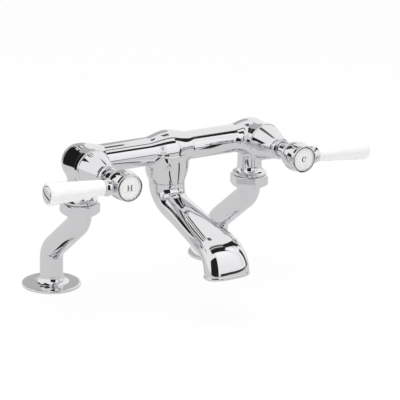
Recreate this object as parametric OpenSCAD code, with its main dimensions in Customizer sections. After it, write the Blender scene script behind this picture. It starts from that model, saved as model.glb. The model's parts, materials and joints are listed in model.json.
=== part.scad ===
// Deck-mounted bath filler with two quarter-turn valves, a swan-neck spout and cranked legs.
// The origin lies on the deck, midway between the two legs. +X points to the cold side,
// -Y to the person at the bath and +Z up.

/* [Layout] */
// Distance between the centres of the two legs
inlet_centres = 180; // [172:1:200]
// How far the crossbar stands in front of the legs' feet
leg_crank = 53; // [48:1:62]
// Height of the crossbar and of both valve axes above the deck
bar_z = 132; // [130:1:145]

/* [Body] */
// Radius of the plain crossbar
bar_r = 13; // [12.5:0.5:14.5]
// Radius of the swelling over the spout
ball_r = 17; // [16:0.5:19]
// Radius of the domed valve chambers at both ends
chamber_r = 16.8; // [16.4:0.2:17.8]
// Length in which a swelling dies into the crossbar
swell_span = 22; // [18:1:26]
// Radius of the waterway inside the crossbar
waterway_r = 6.5; // [5:0.5:7]
// Radius of the neck above the spout where it is widest
neck_r = 18.8; // [18:0.2:20.5]
// Height of the neck from the crossbar axis down to the spout
neck_drop = 30; // [29:0.5:32]

/* [Valve boss] */
// Radius of the boss that carries each valve
boss_r = 15.3; // [15:0.1:15.8]
// Radius of the ring at the end of the boss
ring_r = 17.2; // [16.6:0.2:18.4]
// Distance from the crossbar axis to the end of the boss
boss_len = 25.7; // [25.2:0.1:28]
// Length of the ring along the boss
ring_len = 6.8; // [5:0.2:8]
// Radius of the valve chamber bored into the boss
chamber_bore_r = 11.5; // [11:0.1:12]
// Distance from the crossbar axis to the valve seat
seat_depth = 7; // [6.5:0.1:7.5]

/* [Inlet stub and union nut] */
// Radius of the stub below each valve chamber
stub_r = 11.4; // [11:0.1:12]
// Distance from the crossbar axis to where the stub starts to flare
stub_len = 28; // [25:0.5:30]
// Height of the flare at the foot of the stub
flare_h = 6.5; // [5:0.5:8]
// Radius of the flare at its foot
flare_r = 16; // [15:0.2:17]
// Radius of the union thread
union_thread_r = 13.1; // [12.9:0.1:13.3]
// Length of the union thread
union_thread_len = 4.4; // [4:0.2:6]
// Width of the union nut across its flats
nut_flats = 31.5; // [31:0.5:36]
// Height of the union nut
nut_h = 10.5; // [10:0.5:14]
// Turn of the hot union nut about its axis
nut_turn_hot = 29; // [0:1:59]
// Turn of the cold union nut about its axis
nut_turn_cold = 15; // [0:1:59]
// Thickness of the washer inside the union
washer_t = 2; // [1.5:0.1:2.2]

/* [Legs and feet] */
// Outer radius of the leg tube
leg_r = 10.7; // [10:0.1:11]
// Radius of the waterway in the leg
leg_bore_r = 7.4; // [6:0.1:7.6]
// Radius of the bends in the leg, on its centre line
leg_bend_r = 18; // [14:1:20]
// Angle of the leg's slanted run below the horizontal
leg_slope = 38; // [36:1:44]
// Radius of the thread in the foot of each leg
tail_thread_r = 8.3; // [8:0.1:8.6]
// Depth of the thread in the foot of each leg
tail_thread_len = 12; // [10:0.5:13]
// Radius of the round foot flange
flange_r = 27.2; // [26:0.2:32]
// Thickness of the foot flange at its rim
flange_t = 3.2; // [3:0.1:5]
// Height of the collar that the flange has around the leg
collar_h = 10; // [8:0.5:13]
// Radius of the flange's collar at its top
collar_r = 12.2; // [12:0.1:13]

/* [Spout] */
// Radius of the spout where it leaves the neck
spout_root_r = 16.4; // [16:0.1:17]
// Radius of the spout's first bend, on its centre line
spout_bend_r = 22; // [20:1:26]
// Fall of the spout's long run below the horizontal
spout_slope = 12.5; // [8:0.5:18]
// Length of the spout's straight run
spout_run = 74; // [60:1:95]
// Radius of the downward bend at the nose, on its centre line
nose_bend_r = 18; // [16:1:22]
// Length of the upright stretch above the mouth
mouth_drop = 4.5; // [4:0.5:8]
// Half width of the spout after its first bend
waist_w = 14.5; // [13.5:0.1:16.5]
// Half depth of the spout after its first bend
waist_d = 11; // [10:0.1:13]
// Half width of the spout where the nose begins
nose_w = 19.3; // [18:0.1:21]
// Half depth of the spout where the nose begins
nose_d = 9.6; // [9:0.1:11]
// Half width of the mouth
mouth_w = 21.4; // [20:0.1:24]
// Half depth of the mouth
mouth_d = 10.2; // [9:0.1:12]
// Wall of the spout
spout_wall = 2.2; // [1.8:0.1:2.6]
// How far the rim of the mouth stands out
lip = 0.9; // [0.5:0.1:1.2]

/* [Bonnet cover] */
// Radius of the cone-shaped cover where it meets the ring
cover_base_r = 16.2; // [15.6:0.1:16.4]
// Radius of the cover at its small end
cover_tip_r = 9.6; // [9.2:0.1:11]
// Length of the cover's cone
cover_len = 21; // [20:0.5:26]
// Radius of the bead at the end of the cover
bead_r = 9.9; // [9.6:0.1:11]
// Length of the bead
bead_len = 5.5; // [4.5:0.5:7]

/* [Lever] */
// Distance between the cover and the hub, along the slim neck
hub_neck_len = 14; // [12:0.5:16]
// Radius of that neck
hub_neck_r = 6.6; // [6.2:0.1:7]
// Length of the hub up to its front face
hub_len = 18; // [17.5:0.5:22]
// Largest radius of the hub
hub_r = 13.5; // [13.2:0.1:15]
// Radius of the hub's front face
hub_face_r = 12.4; // [12.2:0.1:13]
// Radius of the porcelain index disc
disc_r = 10.9; // [10.4:0.1:11]
// Thickness of the porcelain index disc
disc_t = 2.5; // [2:0.1:3]
// Distance from the valve axis to the lever's collar
collar_start = 13.6; // [13.2:0.1:15]
// Length of the lever's collar
lever_collar_len = 6.8; // [6:0.2:10]
// Radius of the lever's collar
lever_collar_r = 8; // [7.4:0.1:8.6]
// Length of the porcelain grip
grip_len = 54; // [40:1:62]
// Radius of the grip at the collar
grip_start_r = 6.7; // [6.4:0.1:7.4]
// Radius of the grip at its outer end
grip_end_r = 10; // [9.4:0.1:12]
// Radius of the slotted screw at the end of the grip
end_screw_r = 7.2; // [6.4:0.1:7.6]
// Angle by which both levers lean from level, the same way round
lever_lean = 2; // [0:0.1:4]

/* [Cartridge] */
// Radius of the spindle
spindle_r = 5; // [4.8:0.1:5.4]
// Radial clearance between the spindle and its bore
spindle_fit = 0.05; // [0.03:0.01:0.08]
// Radius of the two ceramic discs
ceramic_r = 8; // [7.6:0.1:8.1]
// Thickness of each ceramic disc
ceramic_t = 3; // [2.6:0.1:3.2]

/* [Hidden] */
$fn = 64;

// Sides of the part
HOT = -1;
COLD = 1;

// Finishes
CHROME = "gainsboro";
PORCELAIN = "white";
BRASS = "goldenrod";
RUBBER = "dimgray";
ALUMINA = "ivory";

// Gap between fixed faces that lie side by side, how far a hub's neck stands in its cover, and
// the thinnest film
seat_gap = 0.3;
neck_in = 0.8;
film = 0.05;

// Break on a sharp edge, its rounding on larger pieces, the degrees that a rounded rim turns
// through, how far a cutter runs past its work, and the degrees of a whole circle
edge = 0.5;
soft_edge = 1.2;
rim_turn = 80;
past = 1;
full_turn = 360;

// Shape of the cast body
neck_top = 4;
neck_wide_at = 16;
neck_tuck = 2;
seat_port_r = 6;
passage_r = 3.4;
passage_side = 8;
passage_front = 13;
passage_len = 21;
bar_core_end = 15;

// Heights of the union, from the crossbar axis downwards
flare_foot = stub_len + flare_h;
shoulder_rim = 2;
shoulder = flare_foot + shoulder_rim;
thread_end = shoulder + union_thread_len;
nut_top_z = bar_z - shoulder - seat_gap;
nut_foot_z = nut_top_z - nut_h;
lip_top_z = bar_z - thread_end - washer_t;
nut_lip = 2.3;
bevel_extra = 0.2;
union_rim = 0.3;
union_clear = 0.4;
lip_foot_z = nut_foot_z + nut_lip;

// Run of the leg
leg_turn = 90 - leg_slope;
leg_slant = (leg_crank - 2 * leg_bend_r * (1 - cos(leg_turn))) / sin(leg_turn);
leg_fall = 2 * leg_bend_r * sin(leg_turn) + leg_slant * cos(leg_turn);
leg_top_z = nut_foot_z - union_clear;
leg_low_z = leg_top_z - leg_fall;
leg_fit = 0.05;
bend_extra = 0.1;
bend_overlap = 0.6;

// Foot flange and the seal in its underside
seal_t = 1.5;
seal_in_r = 15;
seal_margin = 3.2;
seal_out_r = flange_r - seal_margin;
seal_side_gap = 0.4;
trumpet_flare = 4.8;
trumpet_foot = 1.4;
collar_land = 0.8;

// Distances along a valve, from the crossbar axis towards the user
seal_squeeze = 1.6;
cartridge_t = seat_depth + seal_squeeze;
ceramic_1 = cartridge_t;
ceramic_2 = ceramic_1 + ceramic_t + film;
foot_start = ceramic_2 + ceramic_t + film;
foot_t = 3.2;
foot_w = 6.4;
foot_gap = 0.1;
ceiling_gap = 0.6;
barrel_end = foot_start + foot_t + ceiling_gap;
window_in = 0.3;
window_t = foot_t - 2 * window_in;
window_w = 8;
water_gap = 1.9;
barrel_r = chamber_bore_r - water_gap;
disc_gap = 0.2;
barrel_bore_r = ceramic_r + disc_gap;
thread_overlap = 0.4;
thread_start = barrel_end - thread_overlap;
thread_fit = 0.05;
cartridge_rim_r = 13;
cartridge_rim_t = 1.7;
rim_end = boss_len + cartridge_rim_t;
hex_flats = 21;
hex_h = 4.6;
hex_end = rim_end + hex_h;
gland_r = 7;
cone_end = boss_len + cover_len;
cover_end = cone_end + bead_len;
gland_setback = 2.4;
gland_end = cover_end - gland_setback;
clip_t = 1;
clip_gap = 0.2;
clip_r = 6.4;
clip_groove = 0.8;
cover_hollow_r = cartridge_rim_r + seat_gap;
cover_throat = hex_end + edge;
throat_len = 7;
cover_bow = 0.4;
bead_swell = 1.9;
bead_groove = 0.9;
cover_fit = 0.1;
cover_bore_r = gland_r + cover_fit;
neck_start = cover_end - neck_in;
hub_back = cover_end + hub_neck_len;
hub_front = hub_back + hub_len;
lever_setback = 7.6;
lever_at = hub_front - lever_setback;
drive = 6;
drive_fit = 0.1;
drive_setback = 6.6;
drive_end = hub_front - drive_setback;
shank_in = 1;
shank_gap = 0.4;
web_t = 2;
web_end = drive_end + web_t;
screw_r = 2.4;
screw_gap = 0.3;
screw_head_r = 4.2;
screw_head_t = 2.2;
screw_len = 6.6;
screw_hole_len = 10;
screw_slot_w = 1.2;
screw_slot_d = 1;
recess_r = 5.2;
hub_step = 2.6;
hub_step_len = 2.6;
belly_share = 0.52;
disc_back = hub_front + film;
disc_dome = 0.3;
bezel_rim = 1;
bezel_t = disc_t + film + bezel_rim;
bezel_cover = 0.6;
bezel_slope = 0.6;
bezel_lip_r = disc_r - bezel_cover;
groove_setback = 8;
seal_groove_at = gland_end - groove_setback;
seal_ring_r = 1;
seal_nip = 0.02;
seal_mid_r = spindle_r + spindle_fit - seal_ring_r - seal_nip;
groove_w = 2.3;
groove_depth = 2;

// Distances along a lever, from the valve axis outwards
stem_r = 5.4;
rod_r = 2.5;
rod_start = 7;
grip_start = collar_start + lever_collar_len + film;
grip_end = grip_start + grip_len;
grip_nose = 0.9;
grip_round = 3.4;
grip_seat = 1.2;
grip_seat_gap = 0.15;
head_t = 3;
head_foot = grip_end - grip_seat + film;
head_round = 1.2;
head_dome = 0.7;
slot_w = 1.5;
slot_d = 1.3;
slot_angle = -31;
grip_bore_r = rod_r + seat_gap;
collar_swell = 1.9;
// Metal left between the rod's end and the slot in the end screw
rod_cover = 0.4;
rod_end = head_foot + head_t - slot_d - rod_cover;

// Spout path and rings
spout_turn = 90 - spout_slope;
bend_arc = spout_bend_r * spout_turn * PI / 180;
nose_arc = nose_bend_r * spout_turn * PI / 180;
run_end = bend_arc + spout_run;
nose_end = run_end + nose_arc;
path_len = nose_end + mouth_drop;
socket_h = 8;
spigot_r = 12.9;
spigot_fit = 0.15;
spigot_gap = 0.2;
spigot_dip = 1.5;
lip_h = 2.4;
lip_slope = 0.6;
lip_round = 0.4;
inner_first = 2;
spout_bore_r = 11;
ring_points = 32;
bend_rings = 9;
run_rings = 7;
nose_rings = 9;
corner_power = 2.6;

// Points of a round stretch in an outline
function arc(cx, cy, r, from, to, steps = 8) =
    [for (i = [0:steps]) [cx + r * cos(from + (to - from) * i / steps),
                          cy + r * sin(from + (to - from) * i / steps)]];

// Height of a smooth swelling, 1 in its middle and 0 at its ends
function swell(u) = abs(u) >= 1 ? 0 : pow(1 - u * u, 2);

// Radius of the crossbar at a distance from its middle, up to a chamber's centre
function bar_radius(x) =
    bar_r + (ball_r - bar_r) * swell(x / swell_span)
          + (chamber_r - bar_r) * swell((inlet_centres / 2 - x) / swell_span);

// Angle of the spout's path from straight down, at a length along it
function path_angle(s) =
    s < bend_arc ? s / bend_arc * spout_turn :
    s < run_end ? spout_turn :
    s < nose_end ? spout_turn * (nose_end - s) / nose_arc : 0;

// Ends of the spout's bend, run and nose, as distance forward and height from its root
bend_at = [spout_bend_r * (1 - cos(spout_turn)), -spout_bend_r * sin(spout_turn)];
run_at = bend_at + spout_run * [sin(spout_turn), -cos(spout_turn)];
nose_at = run_at + nose_bend_r * [1 - cos(spout_turn), -sin(spout_turn)];

function path_point(s) =
    s < bend_arc ? spout_bend_r * [1 - cos(path_angle(s)), -sin(path_angle(s))] :
    s < run_end ? bend_at + (s - bend_arc) * [sin(spout_turn), -cos(spout_turn)] :
    s < nose_end ? run_at + nose_bend_r * [cos(path_angle(s)) - cos(spout_turn),
                                           sin(path_angle(s)) - sin(spout_turn)] :
    nose_at + [0, nose_end - s];

// Half width, half depth and squareness of the spout at a length along it
function half_width(s) = lookup(s, [[0, spout_root_r], [bend_arc * 0.9, waist_w],
    [bend_arc + spout_run * 0.95, nose_w], [nose_end, mouth_w]]);
function half_depth(s) = lookup(s, [[0, spout_root_r], [bend_arc * 0.9, waist_d],
    [bend_arc + spout_run * 0.95, nose_d], [nose_end, mouth_d]]);
function squareness(s) = lookup(s, [[0, 2], [run_end, corner_power], [path_len, corner_power]]);

function signed_power(v, e) = sign(v) * pow(abs(v), e);

// One closed ring of the spout, standing square to its path
function spout_ring(s, grow) =
    let (p = path_point(s), a = path_angle(s), e = 2 / squareness(s))
    [for (i = [0:ring_points - 1])
        let (t = full_turn * i / ring_points,
             x = (half_width(s) + grow) * signed_power(cos(t), e),
             u = (half_depth(s) + grow) * signed_power(sin(t), e))
        [x, -(p[0] + u * cos(a)), p[1] + u * sin(a)]];

function round_ring(r, z) =
    [for (i = [0:ring_points - 1])
        let (t = full_turn * i / ring_points)
        [r * cos(t), -r * sin(t), z]];

// Turns a shape drawn along Z so that Z points to the user
module to_user() {
    rotate([90, 0, 0]) children();
}

// Turns a shape drawn along Z so that Z points to +X
module to_side() {
    rotate([0, 90, 0]) children();
}

// Places the children in a valve's own frame, with its lever to +X
module at_valve(side) {
    translate([side * inlet_centres / 2, -leg_crank, bar_z])
        rotate([0, side == HOT ? 180 : 0, 0])
            children();
}

module at_lever(side) {
    translate([side * inlet_centres / 2, -leg_crank, bar_z])
        rotate([0, lever_lean + (side == HOT ? 180 : 0), 0])
            children();
}

// Ring with a bore, drawn from z0 to z1
module tube(outer, inner, z0, z1) {
    translate([0, 0, z0])
        linear_extrude(z1 - z0)
            difference() {
                circle(outer);
                circle(inner);
            }
}

module body_bar() {
    half = inlet_centres / 2;
    steps = 8;
    step = swell_span / steps;
    mid = [for (i = [0:steps]) [bar_radius(i * step), i * step]];
    side = [for (i = [steps:-1:0]) [bar_radius(half - i * step), half - i * step]];
    cap = [for (a = [10:10:90]) [chamber_r * cos(a), half + chamber_r * sin(a)]];
    upper = concat(mid, side, cap);
    lower = [for (i = [len(upper) - 1:-1:1]) [upper[i][0], -upper[i][1]]];
    to_side() rotate_extrude() polygon(concat(lower, upper));
}

module body_boss() {
    back = boss_len - ring_len;
    in_r = ring_r - soft_edge;
    to_user() rotate_extrude()
        polygon(concat([[0, 0], [boss_r, 0], [boss_r, back]],
            arc(in_r, back + soft_edge, soft_edge, -90, 0, 4),
            arc(in_r, boss_len - soft_edge, soft_edge, 0, 90, 4), [[0, boss_len]]));
}

module body_stub() {
    flare = [for (a = [0:15:90])
        [stub_r + (flare_r - stub_r) * (1 - cos(a)), -stub_len - flare_h * sin(a)]];
    rotate_extrude()
        polygon(concat([[0, 0], [stub_r, 0]], flare,
            [[flare_r, edge - shoulder], [flare_r - edge, -shoulder], [union_thread_r, -shoulder],
             [union_thread_r, edge - thread_end], [union_thread_r - edge, -thread_end],
             [0, -thread_end]]));
}

module body_neck() {
    top_r = ball_r - neck_tuck;
    upper = [for (a = [0:15:90])
        [top_r + (neck_r - top_r) * sin(a), -neck_top - (neck_wide_at - neck_top) * a / 90]];
    lower = [for (a = [15:15:90])
        [spout_root_r + (neck_r - spout_root_r) * cos(a),
         -neck_wide_at - (neck_drop - neck_wide_at) * a / 90]];
    rotate_extrude() polygon(concat([[0, -neck_top]], upper, lower, [[0, -neck_drop]]));
}

// Waterways: up the stub, through the seat, round the cartridge and along the bar to the neck
module body_cores(side) {
    translate([0, 0, -thread_end - past]) cylinder(h = thread_end + past, r = waterway_r);
    to_user() translate([0, 0, -waterway_r])
        cylinder(h = waterway_r + seat_depth + past, r = seat_port_r);
    to_user() translate([0, 0, seat_depth]) cylinder(h = boss_len, r = chamber_bore_r);
    translate([-passage_side * side, -passage_front, 0])
        rotate([0, 0, side * 45])
            rotate([0, -90 * side, 0])
                cylinder(h = passage_len, r = passage_r);
}

module mixer_body() {
    color(CHROME)
    translate([0, -leg_crank, bar_z])
    difference() {
        union() {
            body_bar();
            body_neck();
            for (side = [HOT, COLD])
                translate([side * inlet_centres / 2, 0, 0]) {
                    body_boss();
                    body_stub();
                }
        }
        for (side = [HOT, COLD])
            translate([side * inlet_centres / 2, 0, 0]) body_cores(side);
        translate([bar_core_end - inlet_centres / 2, 0, 0])
            to_side() cylinder(h = inlet_centres - 2 * bar_core_end, r = waterway_r);
        translate([0, 0, -neck_drop - past]) cylinder(h = neck_drop, r = spout_bore_r);
        translate([0, 0, -neck_drop - past])
            cylinder(h = socket_h + spigot_gap + past, r = spigot_r + spigot_fit);
    }
}

// Hollow cast spout: rings down its outside, back up its inside and over the spigot
module spout() {
    stations = concat(
        [for (i = [0:bend_rings]) bend_arc * i / bend_rings],
        [for (i = [1:run_rings]) bend_arc + spout_run * i / run_rings],
        [for (i = [1:nose_rings]) run_end + nose_arc * i / nose_rings]);
    last = len(stations) - 1;
    outside = [for (s = stations) spout_ring(s, 0)];
    rim = [spout_ring(path_len - lip_h, 0), spout_ring(path_len - lip_h + lip_slope, lip),
           spout_ring(path_len - edge, lip), spout_ring(path_len, lip - edge)];
    inside = concat([spout_ring(path_len, lip_round - spout_wall)],
        [for (i = [last:-1:inner_first]) spout_ring(stations[i], -spout_wall)]);
    spigot = [round_ring(spout_bore_r, -spigot_dip), round_ring(spout_bore_r, socket_h),
              round_ring(spigot_r, socket_h), round_ring(spigot_r, 0)];
    rings = concat(outside, rim, inside, spigot);
    n = ring_points;
    m = len(rings);
    points = [for (ring = rings) each ring];
    faces = [for (j = [0:m - 1]) for (i = [0:n - 1])
        let (a = j * n + i, b = j * n + (i + 1) % n,
             c = ((j + 1) % m) * n + (i + 1) % n, d = ((j + 1) % m) * n + i)
        each [[a, b, c], [a, c, d]]];
    color(CHROME)
    translate([0, -leg_crank, bar_z - neck_drop])
        polyhedron(points, faces, convexity = 6);
}

module union_nut(side, turn) {
    corner_r = nut_flats / 2 / cos(30);
    bevel = corner_r - nut_flats / 2 + bevel_extra;
    drop = (bevel + bevel_extra) * tan(30);
    color(CHROME)
    translate([side * inlet_centres / 2, -leg_crank, nut_foot_z])
    difference() {
        intersection() {
            rotate([0, 0, turn]) cylinder(h = nut_h, r = corner_r, $fn = 6);
            rotate_extrude()
                polygon([[0, 0], [corner_r - bevel, 0], [corner_r + bevel_extra, drop],
                         [corner_r + bevel_extra, nut_h - drop], [corner_r - bevel, nut_h],
                         [0, nut_h]]);
        }
        translate([0, 0, nut_lip]) cylinder(h = nut_h, r = union_thread_r + leg_fit);
        translate([0, 0, -past]) cylinder(h = nut_h, r = leg_r + leg_fit);
    }
}

module union_washer(side) {
    color(RUBBER)
    translate([side * inlet_centres / 2, -leg_crank, 0])
        tube(union_thread_r - union_clear, leg_bore_r + union_clear,
             lip_top_z, lip_top_z + washer_t);
}

// One bend of the leg, swept about a level axis
module leg_bend(r) {
    rotate([90, 0, 90])
        rotate_extrude(angle = leg_turn)
            translate([leg_bend_r, 0]) circle(r + bend_extra);
}

// The leg's whole run as one solid rod of a radius, from its foot up to a height in the union.
// The straight stretches run a little way into the bends, which are a hair thicker.
module leg_run(r, foot_z, top_z) {
    low_bend_y = -leg_bend_r * (1 - cos(leg_turn));
    low_bend_z = leg_low_z + leg_bend_r * sin(leg_turn);
    translate([0, -leg_crank, leg_top_z - bend_overlap])
        cylinder(h = top_z - leg_top_z + bend_overlap, r = r);
    translate([0, leg_bend_r - leg_crank, leg_top_z])
        rotate([180, 0, 0]) leg_bend(r);
    translate([0, low_bend_y, low_bend_z])
        rotate([leg_turn, 0, 0])
            translate([0, 0, -bend_overlap]) cylinder(h = leg_slant + 2 * bend_overlap, r = r);
    translate([0, -leg_bend_r, leg_low_z]) leg_bend(r);
    translate([0, 0, foot_z]) cylinder(h = leg_low_z - foot_z + bend_overlap, r = r);
}

module leg(side) {
    color(CHROME)
    translate([side * inlet_centres / 2, 0, 0])
    difference() {
        union() {
            leg_run(leg_r, 0, lip_foot_z + edge);
            translate([0, -leg_crank, lip_foot_z])
                cylinder(h = lip_top_z - lip_foot_z, r = union_thread_r - union_rim);
        }
        leg_run(leg_bore_r, -past, lip_top_z + past);
        translate([0, 0, -past]) cylinder(h = tail_thread_len + past, r = tail_thread_r);
    }
}

module foot_flange(side) {
    foot_r = collar_r + trumpet_flare;
    trumpet_h = collar_h - flange_t - trumpet_foot;
    trumpet = [for (a = [0:15:90])
        [foot_r - trumpet_flare * sin(a), collar_h - collar_land - trumpet_h * cos(a)]];
    rim = arc(flange_r - soft_edge, flange_t - soft_edge, soft_edge, 0, rim_turn, 5);
    groove_in_r = seal_in_r - seal_side_gap;
    groove_out_r = seal_out_r + seal_side_gap;
    hole_r = leg_r + leg_fit;
    color(CHROME)
    translate([side * inlet_centres / 2, 0, 0])
        rotate_extrude()
            polygon(concat([[groove_out_r, 0], [flange_r - edge, 0], [flange_r, edge]], rim, trumpet,
                [[collar_r - edge, collar_h], [hole_r, collar_h], [hole_r, 0], [groove_in_r, 0],
                 [groove_in_r, seal_t], [groove_out_r, seal_t]]));
}

module deck_seal(side) {
    color(RUBBER)
    translate([side * inlet_centres / 2, 0, 0])
        tube(seal_out_r, seal_in_r, 0, seal_t);
}

module cartridge_seal(side) {
    color(RUBBER)
    at_valve(side) to_user()
        tube(barrel_r - foot_gap, seat_port_r + seat_gap, seat_depth, cartridge_t);
}

module cartridge_body(side) {
    color(BRASS)
    at_valve(side) to_user()
    difference() {
        union() {
            translate([0, 0, cartridge_t])
                cylinder(h = thread_start - cartridge_t, r = barrel_r);
            translate([0, 0, thread_start])
                cylinder(h = boss_len - thread_start, r = chamber_bore_r - thread_fit);
            translate([0, 0, boss_len]) cylinder(h = cartridge_rim_t, r = cartridge_rim_r);
            translate([0, 0, rim_end])
                cylinder(h = hex_h, r = hex_flats / 2 / cos(30), $fn = 6);
            translate([0, 0, hex_end]) cylinder(h = gland_end - hex_end, r = gland_r);
        }
        translate([0, 0, cartridge_t - past])
            cylinder(h = barrel_end - cartridge_t + past, r = barrel_bore_r);
        cylinder(h = cover_end, r = spindle_r + spindle_fit);
        translate([-window_w / 2, -chamber_bore_r - past, foot_start + window_in])
            cube([window_w, 2 * (chamber_bore_r + past), window_t]);
    }
}

// A ceramic disc with its two ports, at an angle about the valve axis
module ceramic_disc(start, angle) {
    port_r = 2.5;
    port_at = 4.4;
    to_user() translate([0, 0, start])
        linear_extrude(ceramic_t)
            difference() {
                circle(ceramic_r);
                for (k = [0, 180])
                    rotate(k + angle) translate([port_at, 0]) circle(port_r);
            }
}

module fixed_disc(side) {
    color(ALUMINA) at_valve(side) ceramic_disc(ceramic_1, 0);
}

module moving_disc(side) {
    color(ALUMINA) at_lever(side) ceramic_disc(ceramic_2, 90);
}

module spindle(side) {
    color(BRASS)
    at_lever(side) to_user()
    difference() {
        union() {
            intersection() {
                translate([0, 0, foot_start]) cylinder(h = foot_t, r = ceramic_r - foot_gap);
                translate([-ceramic_r, -foot_w / 2, foot_start])
                    cube([2 * ceramic_r, foot_w, foot_t]);
            }
            translate([0, 0, foot_start])
                cylinder(h = hub_back + shank_in - foot_start, r = spindle_r);
            translate([-drive / 2, -drive / 2, hub_back])
                cube([drive, drive, drive_end - hub_back]);
        }
        translate([0, 0, seal_groove_at])
            tube(spindle_r + past, spindle_r - groove_depth, 0, groove_w);
        translate([0, 0, gland_end + clip_gap])
            tube(spindle_r + past, spindle_r - clip_groove, 0, clip_t);
        translate([0, 0, drive_end - screw_hole_len])
            cylinder(h = screw_hole_len + past, r = screw_r);
    }
}

module spindle_seal(side) {
    color(RUBBER)
    at_lever(side) to_user()
        translate([0, 0, seal_groove_at + groove_w / 2])
            rotate_extrude() translate([seal_mid_r, 0]) circle(seal_ring_r);
}

module spindle_clip(side) {
    clip_at = gland_end + clip_gap;
    color(BRASS)
    at_lever(side) to_user()
        tube(clip_r, spindle_r - clip_groove, clip_at, clip_at + clip_t);
}

module bonnet_cover(side) {
    cone = [for (u = [0:0.25:1])
        [cover_base_r + (cover_tip_r - cover_base_r) * u + cover_bow * sin(180 * u),
         boss_len + edge + (cover_len - 2 * edge) * u]];
    bead_half = bead_len / 2;
    bead = [for (a = [-75:15:75])
        [bead_r - bead_swell * (1 - cos(a)), cone_end + bead_half + bead_half * sin(a)]];
    color(CHROME)
    at_valve(side) to_user()
        rotate_extrude()
            polygon(concat([[cover_hollow_r, boss_len], [cover_base_r - edge, boss_len]], cone,
                [[cover_tip_r - bead_groove, cone_end]], bead,
                [[cover_bore_r + edge, cover_end], [cover_bore_r, cover_end - edge],
                 [cover_bore_r, cover_throat + throat_len], [cover_hollow_r, cover_throat]]));
}

module lever_hub(side) {
    belly_back = hub_back + hub_step_len;
    belly_at = hub_back + hub_len * belly_share;
    back_r = hub_r - hub_step;
    back_span = belly_at - belly_back;
    front_span = hub_front - belly_at;
    belly = concat(
        [for (u = [-1:0.25:0]) [hub_r - (hub_r - back_r) * u * u, belly_at + back_span * u]],
        [for (u = [0.2:0.2:1]) [hub_r - (hub_r - hub_face_r) * u * u, belly_at + front_span * u]]);
    color(CHROME)
    at_lever(side)
    difference() {
        union() {
            to_user() rotate_extrude()
                polygon(concat([[0, neck_start], [hub_neck_r - edge, neck_start],
                    [hub_neck_r, neck_start + edge], [hub_neck_r, hub_back - past],
                    [hub_neck_r + soft_edge, hub_back], [back_r - edge, hub_back],
                    [back_r, hub_back + edge], [back_r, hub_back + 2 * edge],
                    [back_r - edge, belly_back - edge]],
                    belly, [[0, hub_front]]));
            translate([0, -lever_at, 0]) to_side() cylinder(h = collar_start, r = stem_r);
        }
        to_user() cylinder(h = hub_back + shank_in + shank_gap, r = spindle_r + foot_gap);
        translate([-(drive + drive_fit) / 2, -drive_end - drive_fit, -(drive + drive_fit) / 2])
            cube([drive + drive_fit, drive_end - hub_back, drive + drive_fit]);
        to_user() cylinder(h = hub_front, r = screw_r + screw_gap);
        to_user() translate([0, 0, web_end]) cylinder(h = hub_len, r = recess_r);
        translate([rod_start, -lever_at, 0]) to_side() cylinder(h = collar_start, r = rod_r);
    }
}

module hub_screw(side) {
    color(BRASS)
    at_lever(side) to_user()
    difference() {
        union() {
            translate([0, 0, web_end - screw_len]) cylinder(h = screw_len, r = screw_r);
            translate([0, 0, web_end]) cylinder(h = screw_head_t, r = screw_head_r);
        }
        translate([-screw_slot_w / 2, -screw_head_r - past, web_end + screw_head_t - screw_slot_d])
            cube([screw_slot_w, 2 * (screw_head_r + past), screw_slot_d + past]);
    }
}

module index_disc(side) {
    front = disc_back + disc_t;
    color(PORCELAIN)
    at_lever(side) to_user()
        rotate_extrude()
            polygon([[0, disc_back], [disc_r, disc_back], [disc_r, front],
                     [disc_r - bezel_rim, front], [0, front + disc_dome]]);
}

module index_bezel(side) {
    front = hub_front + bezel_t;
    inner_r = disc_r + film;
    color(CHROME)
    at_lever(side) to_user()
        rotate_extrude()
            polygon(concat([[inner_r, hub_front], [hub_face_r, hub_front]],
                arc(hub_face_r - bezel_rim, front - bezel_rim, bezel_rim, 0, 90, 4),
                [[bezel_lip_r, front - bezel_slope], [bezel_lip_r, front - bezel_rim + film],
                 [inner_r, front - bezel_rim + film]]));
}

module lever_collar(side) {
    half = lever_collar_len / 2;
    bulge = [for (a = [-75:15:75])
        [lever_collar_r - collar_swell * (1 - cos(a)), collar_start + half * (1 + sin(a))]];
    collar_end = collar_start + lever_collar_len;
    color(CHROME)
    at_lever(side) translate([0, -lever_at, 0]) to_side()
        rotate_extrude()
            polygon(concat([[rod_r + film, collar_start], [stem_r, collar_start]], bulge,
                [[grip_start_r - edge, collar_end], [rod_r + film, collar_end]]));
}

module lever_rod(side) {
    color(BRASS)
    at_lever(side) translate([rod_start, -lever_at, 0]) to_side()
        cylinder(h = rod_end - rod_start, r = rod_r);
}

module lever_grip(side) {
    seat_r = end_screw_r + grip_seat_gap;
    color(PORCELAIN)
    at_lever(side) translate([0, -lever_at, 0]) to_side()
        rotate_extrude()
            polygon(concat([[grip_bore_r, grip_start], [grip_start_r - grip_nose, grip_start],
                [grip_start_r, grip_start + grip_nose]],
                arc(grip_end_r - grip_round, grip_end - grip_round, grip_round, 4, rim_turn, 7),
                [[seat_r, grip_end], [seat_r, grip_end - grip_seat],
                 [grip_bore_r, grip_end - grip_seat]]));
}

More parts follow.
